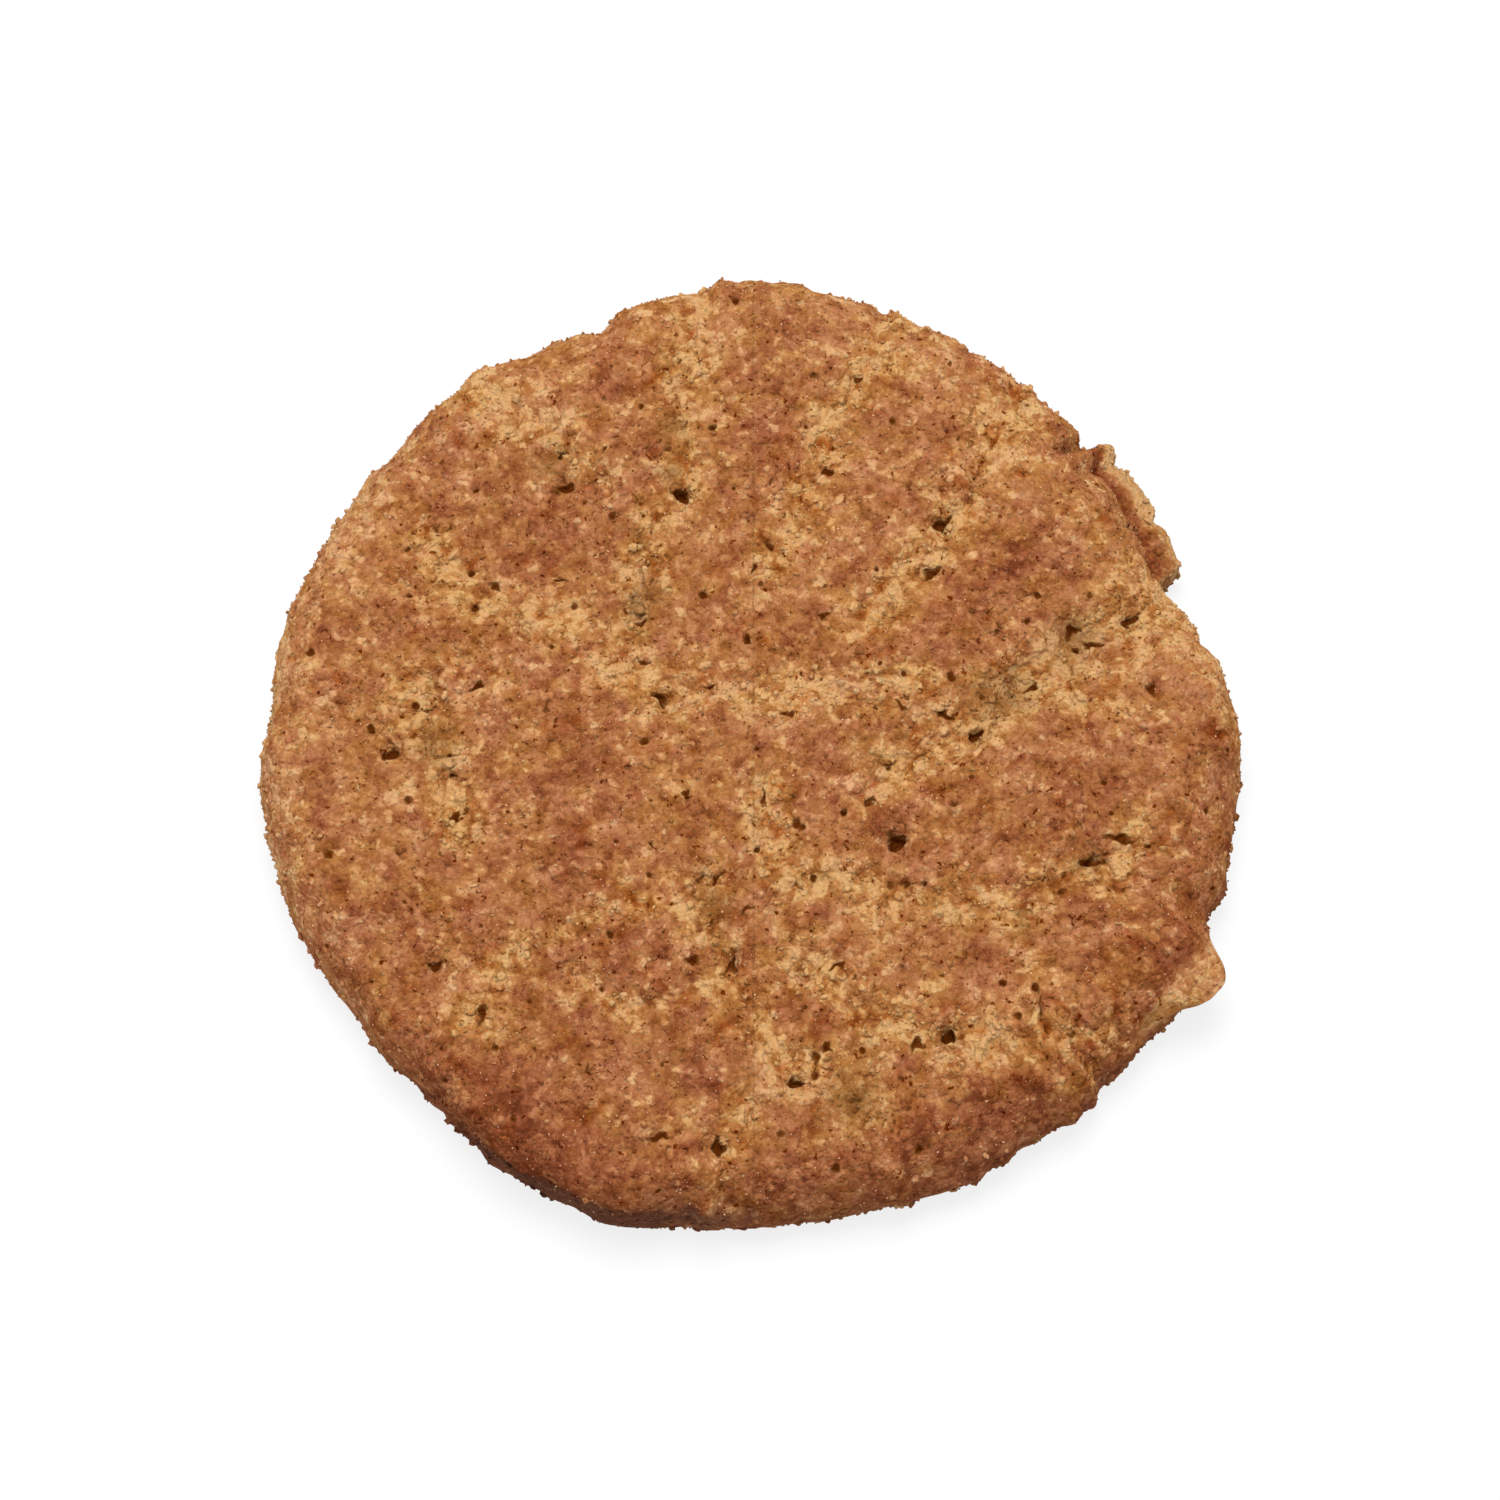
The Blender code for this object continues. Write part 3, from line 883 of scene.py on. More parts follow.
# %% Patches and spots
# Place, radius, strength
TOASTED_PATCHES = [
    ((27.5, 26.5), 2.2, 0.9),
    ((-13.0, -20.5), 7.0, 0.62),
    ((0.5, -21.0), 6.0, 0.45),
    ((4.5, 5.0), 7.0, 0.25),
    ((-16.0, 22.0), 6.0, 0.50),
    ((3.5, 36.7), 2.6, 0.4),
    ((-13.2, 31.9), 3.0, 0.4),
    ((-25.3, 26.2), 3.0, 0.3),
    ((-20.4, 16.3), 4.0, 0.5),
    ((0.9, 25.3), 3.8, 0.4),
    ((1.7, 16.8), 2.6, 0.4),
    ((10.4, 16.8), 3.0, 0.3),
    ((23.4, 13.0), 3.2, 0.6),
    ((18.1, 7.5), 3.6, 0.5),
    ((-34.5, 7.5), 3.0, 0.4),
    ((-39.3, -2.6), 2.6, 0.5),
    ((-16.3, 1.9), 3.8, 0.4),
    ((-14.5, -5.4), 4.4, 0.35),
    ((6.8, -3.5), 4.2, 0.4),
    ((11.1, -9.4), 4.0, 0.4),
    ((28.1, -6.3), 5.2, 0.6),
    ((15.5, 27.0), 3.6, 0.25),
    ((-14.4, -12.6), 4.2, 0.4),
    ((-24.6, -14.4), 3.4, 0.3),
    ((-15.2, -20.6), 3.6, 0.5),
    ((-5.9, -22.3), 2.4, 0.5),
    ((-27.0, -20.6), 2.6, 0.4),
    ((-20.0, -35.3), 5.0, 0.6),
    ((17.7, -20.6), 4.0, 0.4),
    ((33.7, -19.0), 4.0, 0.4),
    ((5.0, -25.9), 2.2, 0.5),
    ((-4.2, -31.6), 1.8, 0.5),
    ((16.7, -34.6), 5.0, 0.4),
]
# Place, radius
PALE_GRAINS = [
    ((29.0, 4.9), 1.21),
    ((-26.4, 14.4), 1.11),
    ((33.3, 6.8), 1.05),
    ((27.3, 2.2), 1.09),
    ((5.8, -14.6), 1.06),
    ((-10.6, 3.8), 1.01),
    ((7.5, 2.6), 0.97),
    ((-15.9, 10.4), 0.97),
    ((-2.3, 2.4), 0.98),
    ((18.6, -29.6), 1.02),
    ((-15.7, -24.9), 1.01),
    ((-15.4, 22.8), 0.87),
    ((0.6, 10.8), 0.91),
    ((11.6, -6.4), 0.84),
    ((24.0, -28.0), 0.88),
    ((4.6, 1.6), 0.92),
    ((0.9, -13.3), 0.82),
    ((20.7, -1.6), 0.86),
    ((11.5, -38.6), 0.91),
    ((31.2, -12.4), 0.86),
    ((-18.2, 28.7), 0.93),
    ((31.1, 13.7), 0.86),
    ((-5.4, -38.9), 0.81),
    ((-5.8, -17.6), 0.86),
    ((-21.0, 27.0), 0.85),
    ((10.5, 33.9), 0.88),
    ((-34.2, 12.5), 0.77),
    ((-24.0, 33.6), 1.40),
]
# Place, radius
DAMP_SPOTS = [
    ((-17.8, 23.8), 1.4),
    ((-7.1, 27.5), 1.6),
    ((-7.2, 22.5), 1.2),
    ((23.1, -17.6), 0.9),
    ((15.8, -27.9), 0.9),
    ((27.8, -12.7), 0.8),
    ((-27.3, -2.0), 2.0),
    ((-9.6, 10.6), 1.8),
    ((27.6, 8.0), 2.2),
    ((21.5, 2.6), 2.4),
    ((-3.2, -16.5), 1.6),
    ((8.4, -33.4), 2.2),
]


SPOT_WAVER = 0.8


def spots(points, places, seed, size=2.4):
    """The strongest of a set of bells with wavering borders: place, radius and strength."""
    waver = np.column_stack([soft_noise(points, size, seed), soft_noise(points, size, seed + 1)])
    flat_points = points[:, :2] + SPOT_WAVER * size * waver
    strongest = np.zeros(len(points))
    for place, radius, strength in places:
        distance = np.hypot(flat_points[:, 0] - place[0], flat_points[:, 1] - place[1])
        strongest = np.maximum(strongest, strength * bell(distance, radius))
    return strongest


toasted_patches = spots(smooth, TOASTED_PATCHES, 81)
print(len(TOASTED_PATCHES), "patches,", len(PALE_GRAINS), "grains,", len(DAMP_SPOTS), "damp spots")

# %% [markdown]
# ## Where it is toasted
#
# Browning follows height and chance: what stands up is closest to the oven's heat, and
# the furrows opened late, so their crumb stayed pale. The mask is a sum, 0 for the
# palest crumb and 1 for the darkest crust. The rim is paler on two sides and darker in
# front, where it is browned and turned away from the light: partly painted shade. The
# flap and the foot get tones of their own, whatever is under them.

# %% Where it is toasted
# Amount, size and seed of the noise
WIDE_MOTTLE = [(0.09, 11.0, 71), (0.16, 4.5, 72)]
FINE_MOTTLE = [(0.30, 2.0, 73), (0.22, 1.0, 76)]
TOASTED = {"base": 0.42, "patch": 0.34, "furrow": 0.16, "swell": 0.12, "cells": 0.16}
# In a furrow the gaps between crumbs are painted darker than their middles, as shade,
# and each crumb gets a tone of its own
FURROW_GAP_SHADE_AND_TONE = {"gap": 0.50, "middle": 0.45, "crumb": 0.20}
# Amount, direction, half width in degrees
PALE_RIM = [(0.20, 170.0, 28.0), (0.34, 17.0, 12.0)]
PALE_RIM_REACH = (35.0, 41.0)
PALE_GRAIN = {"wider": 1.2, "amount": 0.28, "waver": 0.9}
PALE_GRAIN_BORDER = (0.35, 0.65)
# The low front of the rim, turned away from the light, is darker, partly browned and
# partly painted shade, but not round this direction
LOW_RIM_BROWN_AND_SHADE = {"amount": 0.25, "but": 1.2, "direction": 200.0, "half_width": 18.0}
LOW_RIM_REACH, LOW_RIM_FRONT = (34.0, 41.0), (-5.0, 30.0)
FLAP_TOASTED, FOOT_TOASTED, OWN_MOTTLE = 0.26, 0.50, 0.3
# How much painted shade darkens the crease above the foot, and how much paler the foot is
FOOT_CREASE_SHADE, FOOT_PALER = 0.5, 0.50
LOBE_FROM, FOOT_OUTSIDE, FOOT_OUTSIDE_SHARE = (29.5, 31.5), (40.2, 41.2), 0.7


def noise_sum(points, parts, start=0.0):
    """Start plus noises, each of its own amount, size and seed."""
    return sum((amount * soft_noise(points, size, seed) for amount, size, seed in parts), start)


mottle = noise_sum(bumpy, WIDE_MOTTLE) + noise_sum(bumpy, FINE_MOTTLE)
toasted = TOASTED["base"] + mottle + TOASTED["patch"] * toasted_patches
toasted -= TOASTED["furrow"] * furrow
toasted += TOASTED["swell"] * swell
toasted += TOASTED["cells"] * (clod_tone - 0.5) + TOASTED["cells"] * (crumb_tone - 0.5)
# Painted shade in the gaps between crumbs of a furrow, and a random tone for each crumb
toasted += furrow * (
    FURROW_GAP_SHADE_AND_TONE["gap"] * (small_first - FURROW_GAP_SHADE_AND_TONE["middle"])
    + FURROW_GAP_SHADE_AND_TONE["crumb"] * (crumb_tone - 0.5)
)
pale_rim = sum(much * bell(turn_between(angle, way), width) for much, way, width in PALE_RIM)
toasted -= pale_rim * smooth_step(reach, *PALE_RIM_REACH)
pale_places = [(place, PALE_GRAIN["wider"] * radius, 1.0) for place, radius in PALE_GRAINS]
pale_grain = smooth_step(spots(smooth, pale_places, 88, PALE_GRAIN["waver"]), *PALE_GRAIN_BORDER)
toasted -= PALE_GRAIN["amount"] * pale_grain
low_rim_brown_and_shade = LOW_RIM_BROWN_AND_SHADE["but"] * bell(turn_between(angle, LOW_RIM_BROWN_AND_SHADE["direction"]), LOW_RIM_BROWN_AND_SHADE["half_width"])
low_rim_brown_and_shade = smooth_step(reach, *LOW_RIM_REACH) * (1.0 - low_rim_brown_and_shade)
toasted += LOW_RIM_BROWN_AND_SHADE["amount"] * low_rim_brown_and_shade * smooth_step(-smooth[:, 1], *LOW_RIM_FRONT)
toasted += flap * (FLAP_TOASTED + OWN_MOTTLE * mottle - toasted)
lobe = smooth_step(angle, *LOBE_FROM)
pale_foot = np.maximum(lobe, FOOT_OUTSIDE_SHARE * smooth_step(reach, *FOOT_OUTSIDE))
foot_tone = FOOT_TOASTED - FOOT_PALER * pale_foot + OWN_MOTTLE * mottle
# The crease above the foot is darkened as painted shade
toasted += foot * (foot_tone - toasted) + FOOT_CREASE_SHADE * foot_crease
toasted = np.clip(toasted, 0.0, 1.0)
print("toasted, mean", toasted.mean().round(2))

# %% [markdown]
# ## Crumb, damp spots and hue
#
# Three more masks are stored on the points. Crumb is where the inside of the cookie
# shows. Damp marks spots where moist dough baked dull and smooth, so they have no dark
# gaps. Rosy leans the hue towards red, as on the toasted skin, or towards yellow.

# %% Crumb, damp spots and hue
CRUMB_SHARE = {"furrow": 0.55, "uneven": 0.9, "patches": 0.35, "foot": 0.7}
# Amount, size and seed of the noise
ROSY_MOTTLE = [(0.5, 5.0, 78), (0.8, 1.8, 79), (0.6, 0.9, 80)]
ROSY = {"base": 0.5, "patch": 0.5, "furrow": 0.5, "damp": 0.3, "clod": 0.3, "rim": 0.3}
ROSY.update(lip=0.4, crease=0.5, foot=0.2, flap=0.4)
ROSY_RIM_REACH, ROSY_RIM_FRONT = (36.0, 42.0), (0.0, 25.0)

crumb = furrow * (CRUMB_SHARE["furrow"] + CRUMB_SHARE["uneven"] * soft_noise(bumpy, 3.0, 74))
crumb += CRUMB_SHARE["patches"] * soft_noise(bumpy, 5.0, 75)
crumb = crumb * on_top * (1.0 - flap) + CRUMB_SHARE["foot"] * foot * pale_foot
crumb = np.clip(crumb, 0.0, 1.0)
damp = spots(smooth, [(place, radius, 1.0) for place, radius in DAMP_SPOTS], 85) * on_top
rosy = noise_sum(bumpy, ROSY_MOTTLE, ROSY["base"])
rosy += (
    ROSY["patch"] * toasted_patches
    - ROSY["furrow"] * furrow
    - ROSY["damp"] * damp
    + ROSY["clod"] * (clod_tone - 0.5)
)
# The low front rim leans red as well: partly its own hue, partly painted shade
low_front = smooth_step(-smooth[:, 1], *ROSY_RIM_FRONT)
rosy += ROSY["rim"] * smooth_step(reach, *ROSY_RIM_REACH) * low_front
# The crease above the foot leans red as painted shade; the lip leans red too, partly browned dough and
# partly painted shade
rosy = rosy + ROSY["lip"] * lip + ROSY["crease"] * foot_crease
rosy = np.clip(rosy - ROSY["foot"] * foot - ROSY["flap"] * flap, 0.0, 1.0)
gap *= 1.0 - damp
print("crumb, mean", crumb.mean().round(3), "rosy, mean", rosy.mean().round(2))

# %% [markdown]
# ## Making the mesh
#
# The arrays go into a Blender mesh in one go each. Masks become point attributes, which
# a material can read by name.

# %% Making the mesh
def make_piece(name, points, faces, material, masks):
    """A smooth-shaded mesh object in metres, with one float attribute for each mask."""
    mesh = bpy.data.meshes.new(name)
    mesh.from_pydata((points * MM).tolist(), [], faces)
    for title, values in masks.items():
        layer = mesh.attributes.new(title, "FLOAT", "POINT")
        layer.data.foreach_set("value", np.asarray(values, dtype=np.float32))
    mesh.materials.append(material)
    mesh.shade_smooth()
    mesh.update()
    piece = bpy.data.objects.new(name, mesh)
    bpy.context.scene.collection.objects.link(piece)
    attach(piece, "root")
    return piece


# %% [markdown]
# ## Small helpers for materials
#
# Node trees are easier to read as sums than as boxes and wires. Each helper adds one
# node, connects what it is given and returns the socket that comes out.

# %% Small helpers for materials
def feed(tree, socket, value):
    """Links a socket, or sets a plain value."""
    if isinstance(value, bpy.types.NodeSocket):
        tree.links.new(value, socket)
    else:
        socket.default_value = value


def calc(tree, operation, first, second):
    node = tree.nodes.new("ShaderNodeMath")
    node.operation = operation
    feed(tree, node.inputs[0], first)
    feed(tree, node.inputs[1], second)
    return node.outputs[0]


def scaled(tree, value, factor, offset=0.0):
    """Value times factor, plus offset."""
    return calc(tree, "ADD", calc(tree, "MULTIPLY", value, factor), offset)


def soft_mask(tree, value, low, high):
    """0 below low and 1 above high, or the other way round when low is the larger."""
    node = tree.nodes.new("ShaderNodeMapRange")
    node.interpolation_type = "SMOOTHSTEP"
    feed(tree, node.inputs["Value"], value)
    node.inputs["From Min"].default_value = min(low, high)
    node.inputs["From Max"].default_value = max(low, high)
    node.inputs["To Min"].default_value = 0.0 if low < high else 1.0
    node.inputs["To Max"].default_value = 1.0 if low < high else 0.0
    return node.outputs["Result"]


def mix_colour(tree, share, first, second, mode="MIX"):
    node = tree.nodes.new("ShaderNodeMix")
    node.data_type = "RGBA"
    node.blend_type = mode
    feed(tree, node.inputs["Factor"], share)
    feed(tree, node.inputs["A"], first)
    feed(tree, node.inputs["B"], second)
    return node.outputs["Result"]


def noise_value(tree, place, size, detail=2.0, roughness=0.5):
    """Noise with features of this size in millimetres, 0 to 1."""
    node = tree.nodes.new("ShaderNodeTexNoise")
    feed(tree, node.inputs["Vector"], place)
    node.inputs["Scale"].default_value = 1.0 / (size * MM)
    node.inputs["Detail"].default_value = detail
    node.inputs["Roughness"].default_value = roughness
    return node.outputs["Fac"]


def cell_node(tree, place, size):
    """Cellular noise with cells of this size in millimetres."""
    node = tree.nodes.new("ShaderNodeTexVoronoi")
    feed(tree, node.inputs["Vector"], place)
    node.inputs["Scale"].default_value = 1.0 / (size * MM)
    return node


def mask_value(tree, name):
    node = tree.nodes.new("ShaderNodeAttribute")
    node.attribute_name = name
    return node.outputs["Fac"]


def colour_scale(tree, value, stops):
    """Colours by value: a list of (position, colour)."""
    node = tree.nodes.new("ShaderNodeValToRGB")
    ramp = node.color_ramp
    while len(ramp.elements) < len(stops):
        ramp.elements.new(1.0)
    for element, (position, colour) in zip(ramp.elements, stops):
        element.position = position
        element.color = (*colour, 1.0)
    feed(tree, node.inputs["Fac"], value)
    return node.outputs["Color"]


# %% [markdown]
# ## Fine grain, shared by dough and crumbs
#
# Below a third of a millimetre, geometry would cost millions of faces. A node group
# makes that last scale. Powdery noise keeps nearly all its contrast at each halving of
# size, as crushed grain does, and cells of three sizes are crumbs with a crisp tone
# each. Among them lie pale grains, more of them where the crumb mask is high, and dark
# pinpricks. The group puts out a tone, a height and those two masks.

# %% Fine grain
def new_group(name, inputs, outputs):
    group = bpy.data.node_groups.new(name, "ShaderNodeTree")
    for title, value in inputs:
        socket = group.interface.new_socket(title, in_out="INPUT", socket_type="NodeSocketFloat")
        socket.default_value = value
    for title in outputs:
        group.interface.new_socket(title, in_out="OUTPUT", socket_type="NodeSocketFloat")
    return group, group.nodes.new("NodeGroupInput").outputs, group.nodes.new("NodeGroupOutput").inputs


def warped_place(tree, size, amount):
    """Object coordinates pushed about by noise, so that cells get ragged borders."""
    place = tree.nodes.new("ShaderNodeTexCoord").outputs["Object"]
    noise = tree.nodes.new("ShaderNodeTexNoise")
    feed(tree, noise.inputs["Vector"], place)
    noise.inputs["Scale"].default_value = 1.0 / (size * MM)
    noise.inputs["Detail"].default_value = 1.0
    push = tree.nodes.new("ShaderNodeVectorMath")
    push.operation = "MULTIPLY_ADD"
    feed(tree, push.inputs[0], noise.outputs["Color"])
    push.inputs[1].default_value = (2.0 * amount * MM,) * 3
    feed(tree, push.inputs[2], place)
    return push.outputs["Vector"]


def draws(tree, cell):
    """Two random numbers of each cell."""
    node = tree.nodes.new("ShaderNodeSeparateColor")
    feed(tree, node.inputs["Color"], cell.outputs["Color"])
    return node.outputs["Red"], node.outputs["Green"]


# Size and amount in mm
GRAIN_WARP = (0.5, 0.12)
# Size in mm, detail, roughness
POWDER_NOISE = (0.9, 4.0, 0.90)
CREAM_NOISE = (1.3, 1.0, 0.50)
PINPRICK_NOISE = (0.65, 3.0, 0.60)
POWDER_TONE, POWDER_HEIGHT = 1.4, 0.8
# Size in mm, share of the tone
CLUMPS = [(0.40, 0.46), (0.75, 0.50), (1.30, 0.36)]
CLUMP_HEIGHT = 1.2
CREAM_IN_CRUMB, CREAM_LIMITS, CREAM_HEIGHT = 0.08, (0.62, 0.69), 0.25
PINPRICK_LIMITS, PINPRICK_DEPTH = (0.355, 0.30), 0.5


def make_fine_grain():
    """Tone = powder plus a random tone for each clump; Height = powder plus their domes.

    Pale is 1 where coarse noise is high, and Dark where fine noise is low. Pale grains
    stand up and pinpricks go down.
    """
    group, given, made = new_group("fine_grain", [("Crumb", 0.0)], ["Tone", "Height", "Pale", "Dark"])
    place = warped_place(group, *GRAIN_WARP)
    powder = noise_value(group, place, *POWDER_NOISE)
    tone = scaled(group, powder, POWDER_TONE, -0.5 * POWDER_TONE)
    height = scaled(group, powder, POWDER_HEIGHT)
    for size, share in CLUMPS:
        clump = cell_node(group, place, size)
        clump_tone, clump_rise = draws(group, clump)
        tone = calc(group, "ADD", tone, scaled(group, clump_tone, share, -0.5 * share))
        dome = calc(group, "SUBTRACT", clump_rise, clump.outputs["Distance"])
        height = calc(group, "ADD", height, scaled(group, dome, share * CLUMP_HEIGHT))
    feed(group, made["Tone"], tone)

    cream = noise_value(group, place, *CREAM_NOISE)
    cream = calc(group, "ADD", cream, scaled(group, given["Crumb"], CREAM_IN_CRUMB))
    pale = soft_mask(group, cream, *CREAM_LIMITS)
    feed(group, made["Pale"], pale)

    dark = soft_mask(group, noise_value(group, place, *PINPRICK_NOISE), *PINPRICK_LIMITS)
    feed(group, made["Dark"], dark)

    height = calc(group, "ADD", height, scaled(group, pale, CREAM_HEIGHT))
    height = calc(group, "SUBTRACT", height, scaled(group, dark, PINPRICK_DEPTH))
    feed(group, made["Height"], height)
    return group


fine_grain = make_fine_grain()
print("fine grain group with", len(fine_grain.nodes), "nodes")

# %% [markdown]
# ## Baked dough
#
# One scale of colours runs from cream through tan to toasted brown. The toasted mask,
# nudged by the fine grain, picks the place on that scale, and pale grains are lifted
# towards cream. The rosy mask then leans the hue. The low rim and the lip go a deeper
# brown, partly browned and partly painted shade, damp spots a dull one, and holes go
# dark, partly brown and partly painted shade, with a crisp border that noise has frayed.
# Pinpricks and the gaps between crumbs are darkened as painted shade. A little light
# passes into the crumb, as it does in real dough.

# %% Baked dough
LIGHT = (0.53, 0.302, 0.136)
CREAM = (0.50, 0.272, 0.117)
PALE = (0.40, 0.179, 0.069)
TAN = (0.303, 0.1145, 0.038)
TOAST = (0.213, 0.067, 0.020)
BROWN = (0.132, 0.036, 0.010)
RIM_BROWN_AND_SHADE = (0.078, 0.034, 0.023)
DAMP = (0.200, 0.083, 0.022)
HOLE_BROWN_AND_SHADE = (0.140, 0.055, 0.011)
HUES = [(0.0, (0.98, 1.035, 0.73)), (1.0, (1.02, 0.965, 1.29))]
BAKED_SCALE = [(0.0, LIGHT), (0.08, CREAM), (0.24, PALE), (0.50, TAN), (0.76, TOAST), (1.0, BROWN)]
SHADES = [
    (0.0, (1.0, 1.0, 1.0)),
    (0.33, (0.75, 0.50, 0.31)),
    (0.66, (0.45, 0.19, 0.04)),
    (1.0, (0.24, 0.08, 0.005)),
]
# How much of the scale the fine grain, the crumb and a pale grain move
GRAIN_SHARE, CRUMB_PALER, GRAIN_PALER = 0.50, 0.22, 0.30
# Factor and offset of the tint by how toasted the place is
TINT_SHARE = (0.85, 0.35)
RIM_SHARE, DAMP_SHARE, HOLE_SHARE = 0.80, 0.62, 0.85
HOLE_FRAY, HOLE_LIMITS, MIDDLE_LIMITS = 0.17, (0.46, 0.56), (0.52, 0.70)
# Painted shade in pinpricks, in the middles of holes and in the gaps between crumbs
PINPRICK_SHADE, HOLE_MIDDLE_SHADE, GAP_SHADE_DARK = 0.78, 0.55, 0.40
# Factor and offset of the roughness by the fine grain's tone
DOUGH_ROUGHNESS = (0.12, 0.82)
HOLE_BUMP, DOUGH_BUMP = 0.5, 0.42
DOUGH_LETS_LIGHT_IN = 0.40


def add_group(tree, group, **values):
    node = tree.nodes.new("ShaderNodeGroup")
    node.node_tree = group
    for title, value in values.items():
        feed(tree, node.inputs[title], value)
    return node.outputs


def new_material(name):
    material = bpy.data.materials.new(name)
    material.use_nodes = True
    return material, material.node_tree, material.node_tree.nodes["Principled BSDF"]


def add_bump(tree, height, distance):
    """A full bump, with the distance in millimetres."""
    node = tree.nodes.new("ShaderNodeBump")
    node.inputs["Strength"].default_value = 1.0
    node.inputs["Distance"].default_value = distance * MM
    feed(tree, node.inputs["Height"], height)
    return node.outputs["Normal"]


def soften(shader, weight):
    """Light that enters the dough comes out up to a millimetre away, red the farthest."""
    shader.inputs["Subsurface Weight"].default_value = weight
    shader.inputs["Subsurface Radius"].default_value = (1.0, 0.5, 0.25)
    shader.inputs["Subsurface Scale"].default_value = 0.3 * MM


def make_dough():
    material, tree, shader = new_material("baked_dough")
    crumb_mask = mask_value(tree, "crumb")
    grain = add_group(tree, fine_grain, Crumb=crumb_mask)
    grain_tone = scaled(tree, grain["Tone"], GRAIN_SHARE)
    toasted = calc(tree, "ADD", mask_value(tree, "toasted"), grain_tone)
    toasted = calc(tree, "SUBTRACT", toasted, scaled(tree, crumb_mask, CRUMB_PALER))
    toasted = calc(tree, "SUBTRACT", toasted, scaled(tree, grain["Pale"], GRAIN_PALER))
    colour = colour_scale(tree, toasted, BAKED_SCALE)
    tint = colour_scale(tree, mask_value(tree, "rosy"), HUES)
    colour = mix_colour(tree, scaled(tree, toasted, *TINT_SHARE), colour, tint, "MULTIPLY")

    # Deeper brown and painted shade on the low front wall and the lip
    wall_share = scaled(tree, mask_value(tree, "wall"), RIM_SHARE)
    colour = mix_colour(tree, wall_share, colour, (*RIM_BROWN_AND_SHADE, 1.0))
    damp_share = scaled(tree, mask_value(tree, "damp"), DAMP_SHARE)
    colour = mix_colour(tree, damp_share, colour, (*DAMP, 1.0))

    fray = scaled(tree, grain["Tone"], HOLE_FRAY)
    frayed = calc(tree, "ADD", mask_value(tree, "hollow"), fray)
    hole = soft_mask(tree, frayed, *HOLE_LIMITS)
    middle = soft_mask(tree, frayed, *MIDDLE_LIMITS)
    # Holes go dark brown, partly their own colour and partly painted shade
    colour = mix_colour(tree, scaled(tree, hole, HOLE_SHARE), colour, (*HOLE_BROWN_AND_SHADE, 1.0))
    # Pinpricks are tiny pits darkened as painted shade, and so are the middles of holes
    away_from_damp = scaled(tree, mask_value(tree, "damp"), -PINPRICK_SHADE, PINPRICK_SHADE)
    pinprick = calc(tree, "MULTIPLY", grain["Dark"], away_from_damp)
    dark = calc(tree, "MAXIMUM", scaled(tree, middle, HOLE_MIDDLE_SHADE), pinprick)
    # Painted shade in the gaps between crumbs and in the creases of the foot and the lip
    dark = calc(tree, "MAXIMUM", dark, scaled(tree, mask_value(tree, "gap"), GAP_SHADE_DARK))
    colour = mix_colour(tree, 1.0, colour, colour_scale(tree, dark, SHADES), "MULTIPLY")
    feed(tree, shader.inputs["Base Color"], colour)

    feed(tree, shader.inputs["Roughness"], scaled(tree, grain["Tone"], *DOUGH_ROUGHNESS))
    height = calc(tree, "SUBTRACT", grain["Height"], scaled(tree, hole, HOLE_BUMP))
    feed(tree, shader.inputs["Normal"], add_bump(tree, height, DOUGH_BUMP))
    shader.inputs["Specular IOR Level"].default_value = 0.0
    soften(shader, DOUGH_LETS_LIGHT_IN)
    return material


dough = make_dough()
print("baked dough with", len(dough.node_tree.nodes), "nodes")

# %% [markdown]
# ## Two halves
#
# A mesh of this many faces would be thinned when it is exported, so the cookie is handed
# over as two closed halves, left and right of the middle plane. The normals of both are
# smooth up to that plane, and the flat faces that close them lie face to face inside, so
# nothing shows of the cut.

# %% Two halves
# How much of the rim's deeper brown and painted shade the low side takes
WALL_DARK = 0.4
ON_PLANE = 1e-9


def middle_ring():
    """The points on the middle plane, in order: over the top, down, along the sole and up."""
    on_plane = np.flatnonzero(np.abs(block[:, 0]) < ON_PLANE)
    along, level = block[on_plane, 1], block[on_plane, 2]
    order = np.where(level >= 1.0, along, np.where(along >= 1.0, 2.0 - level, 4.0 - along))
    order = np.where((along <= -1.0) & (level < 1.0), 6.0 + level, order)
    return on_plane[np.argsort(order)]


def half_cookie(side, middle):
    """The faces whose corners lie to one side, closed by one flat face on the middle plane."""
    faces = quads[block[quads, 0].mean(axis=1) * side > 0.0].tolist()
    faces += [list(map(int, strip)) for strip in strips if block[strip, 0].mean() * side > 0.0]
    faces.append(middle.tolist() if side > 0.0 else middle[::-1].tolist())
    sizes = np.array([len(face) for face in faces])
    corners, numbers = np.unique(np.concatenate(faces), return_inverse=True)
    faces = [part.tolist() for part in np.split(numbers, np.cumsum(sizes)[:-1])]
    return surface[corners], faces, {title: values[corners] for title, values in masks.items()}


masks = {
    "toasted": toasted,
    "crumb": crumb,
    "rosy": rosy,
    "damp": damp,
    "hollow": hollow,
    "gap": gap,
    # The low front wall and the lip take the rim's deeper brown and painted shade
    "wall": np.maximum(wall * WALL_DARK * low_rim_brown_and_shade, lip),
}
middle = middle_ring()
for name, side in (("cookie_left", -1.0), ("cookie_right", 1.0)):
    points, faces, taken = half_cookie(side, middle)
    half = make_piece(name, points, faces, dough, taken)
    half.data.polygons[len(faces) - 1].use_smooth = False
    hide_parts("cookie")
    print(name, "has", sum(len(face) - 2 for face in faces), "triangles")

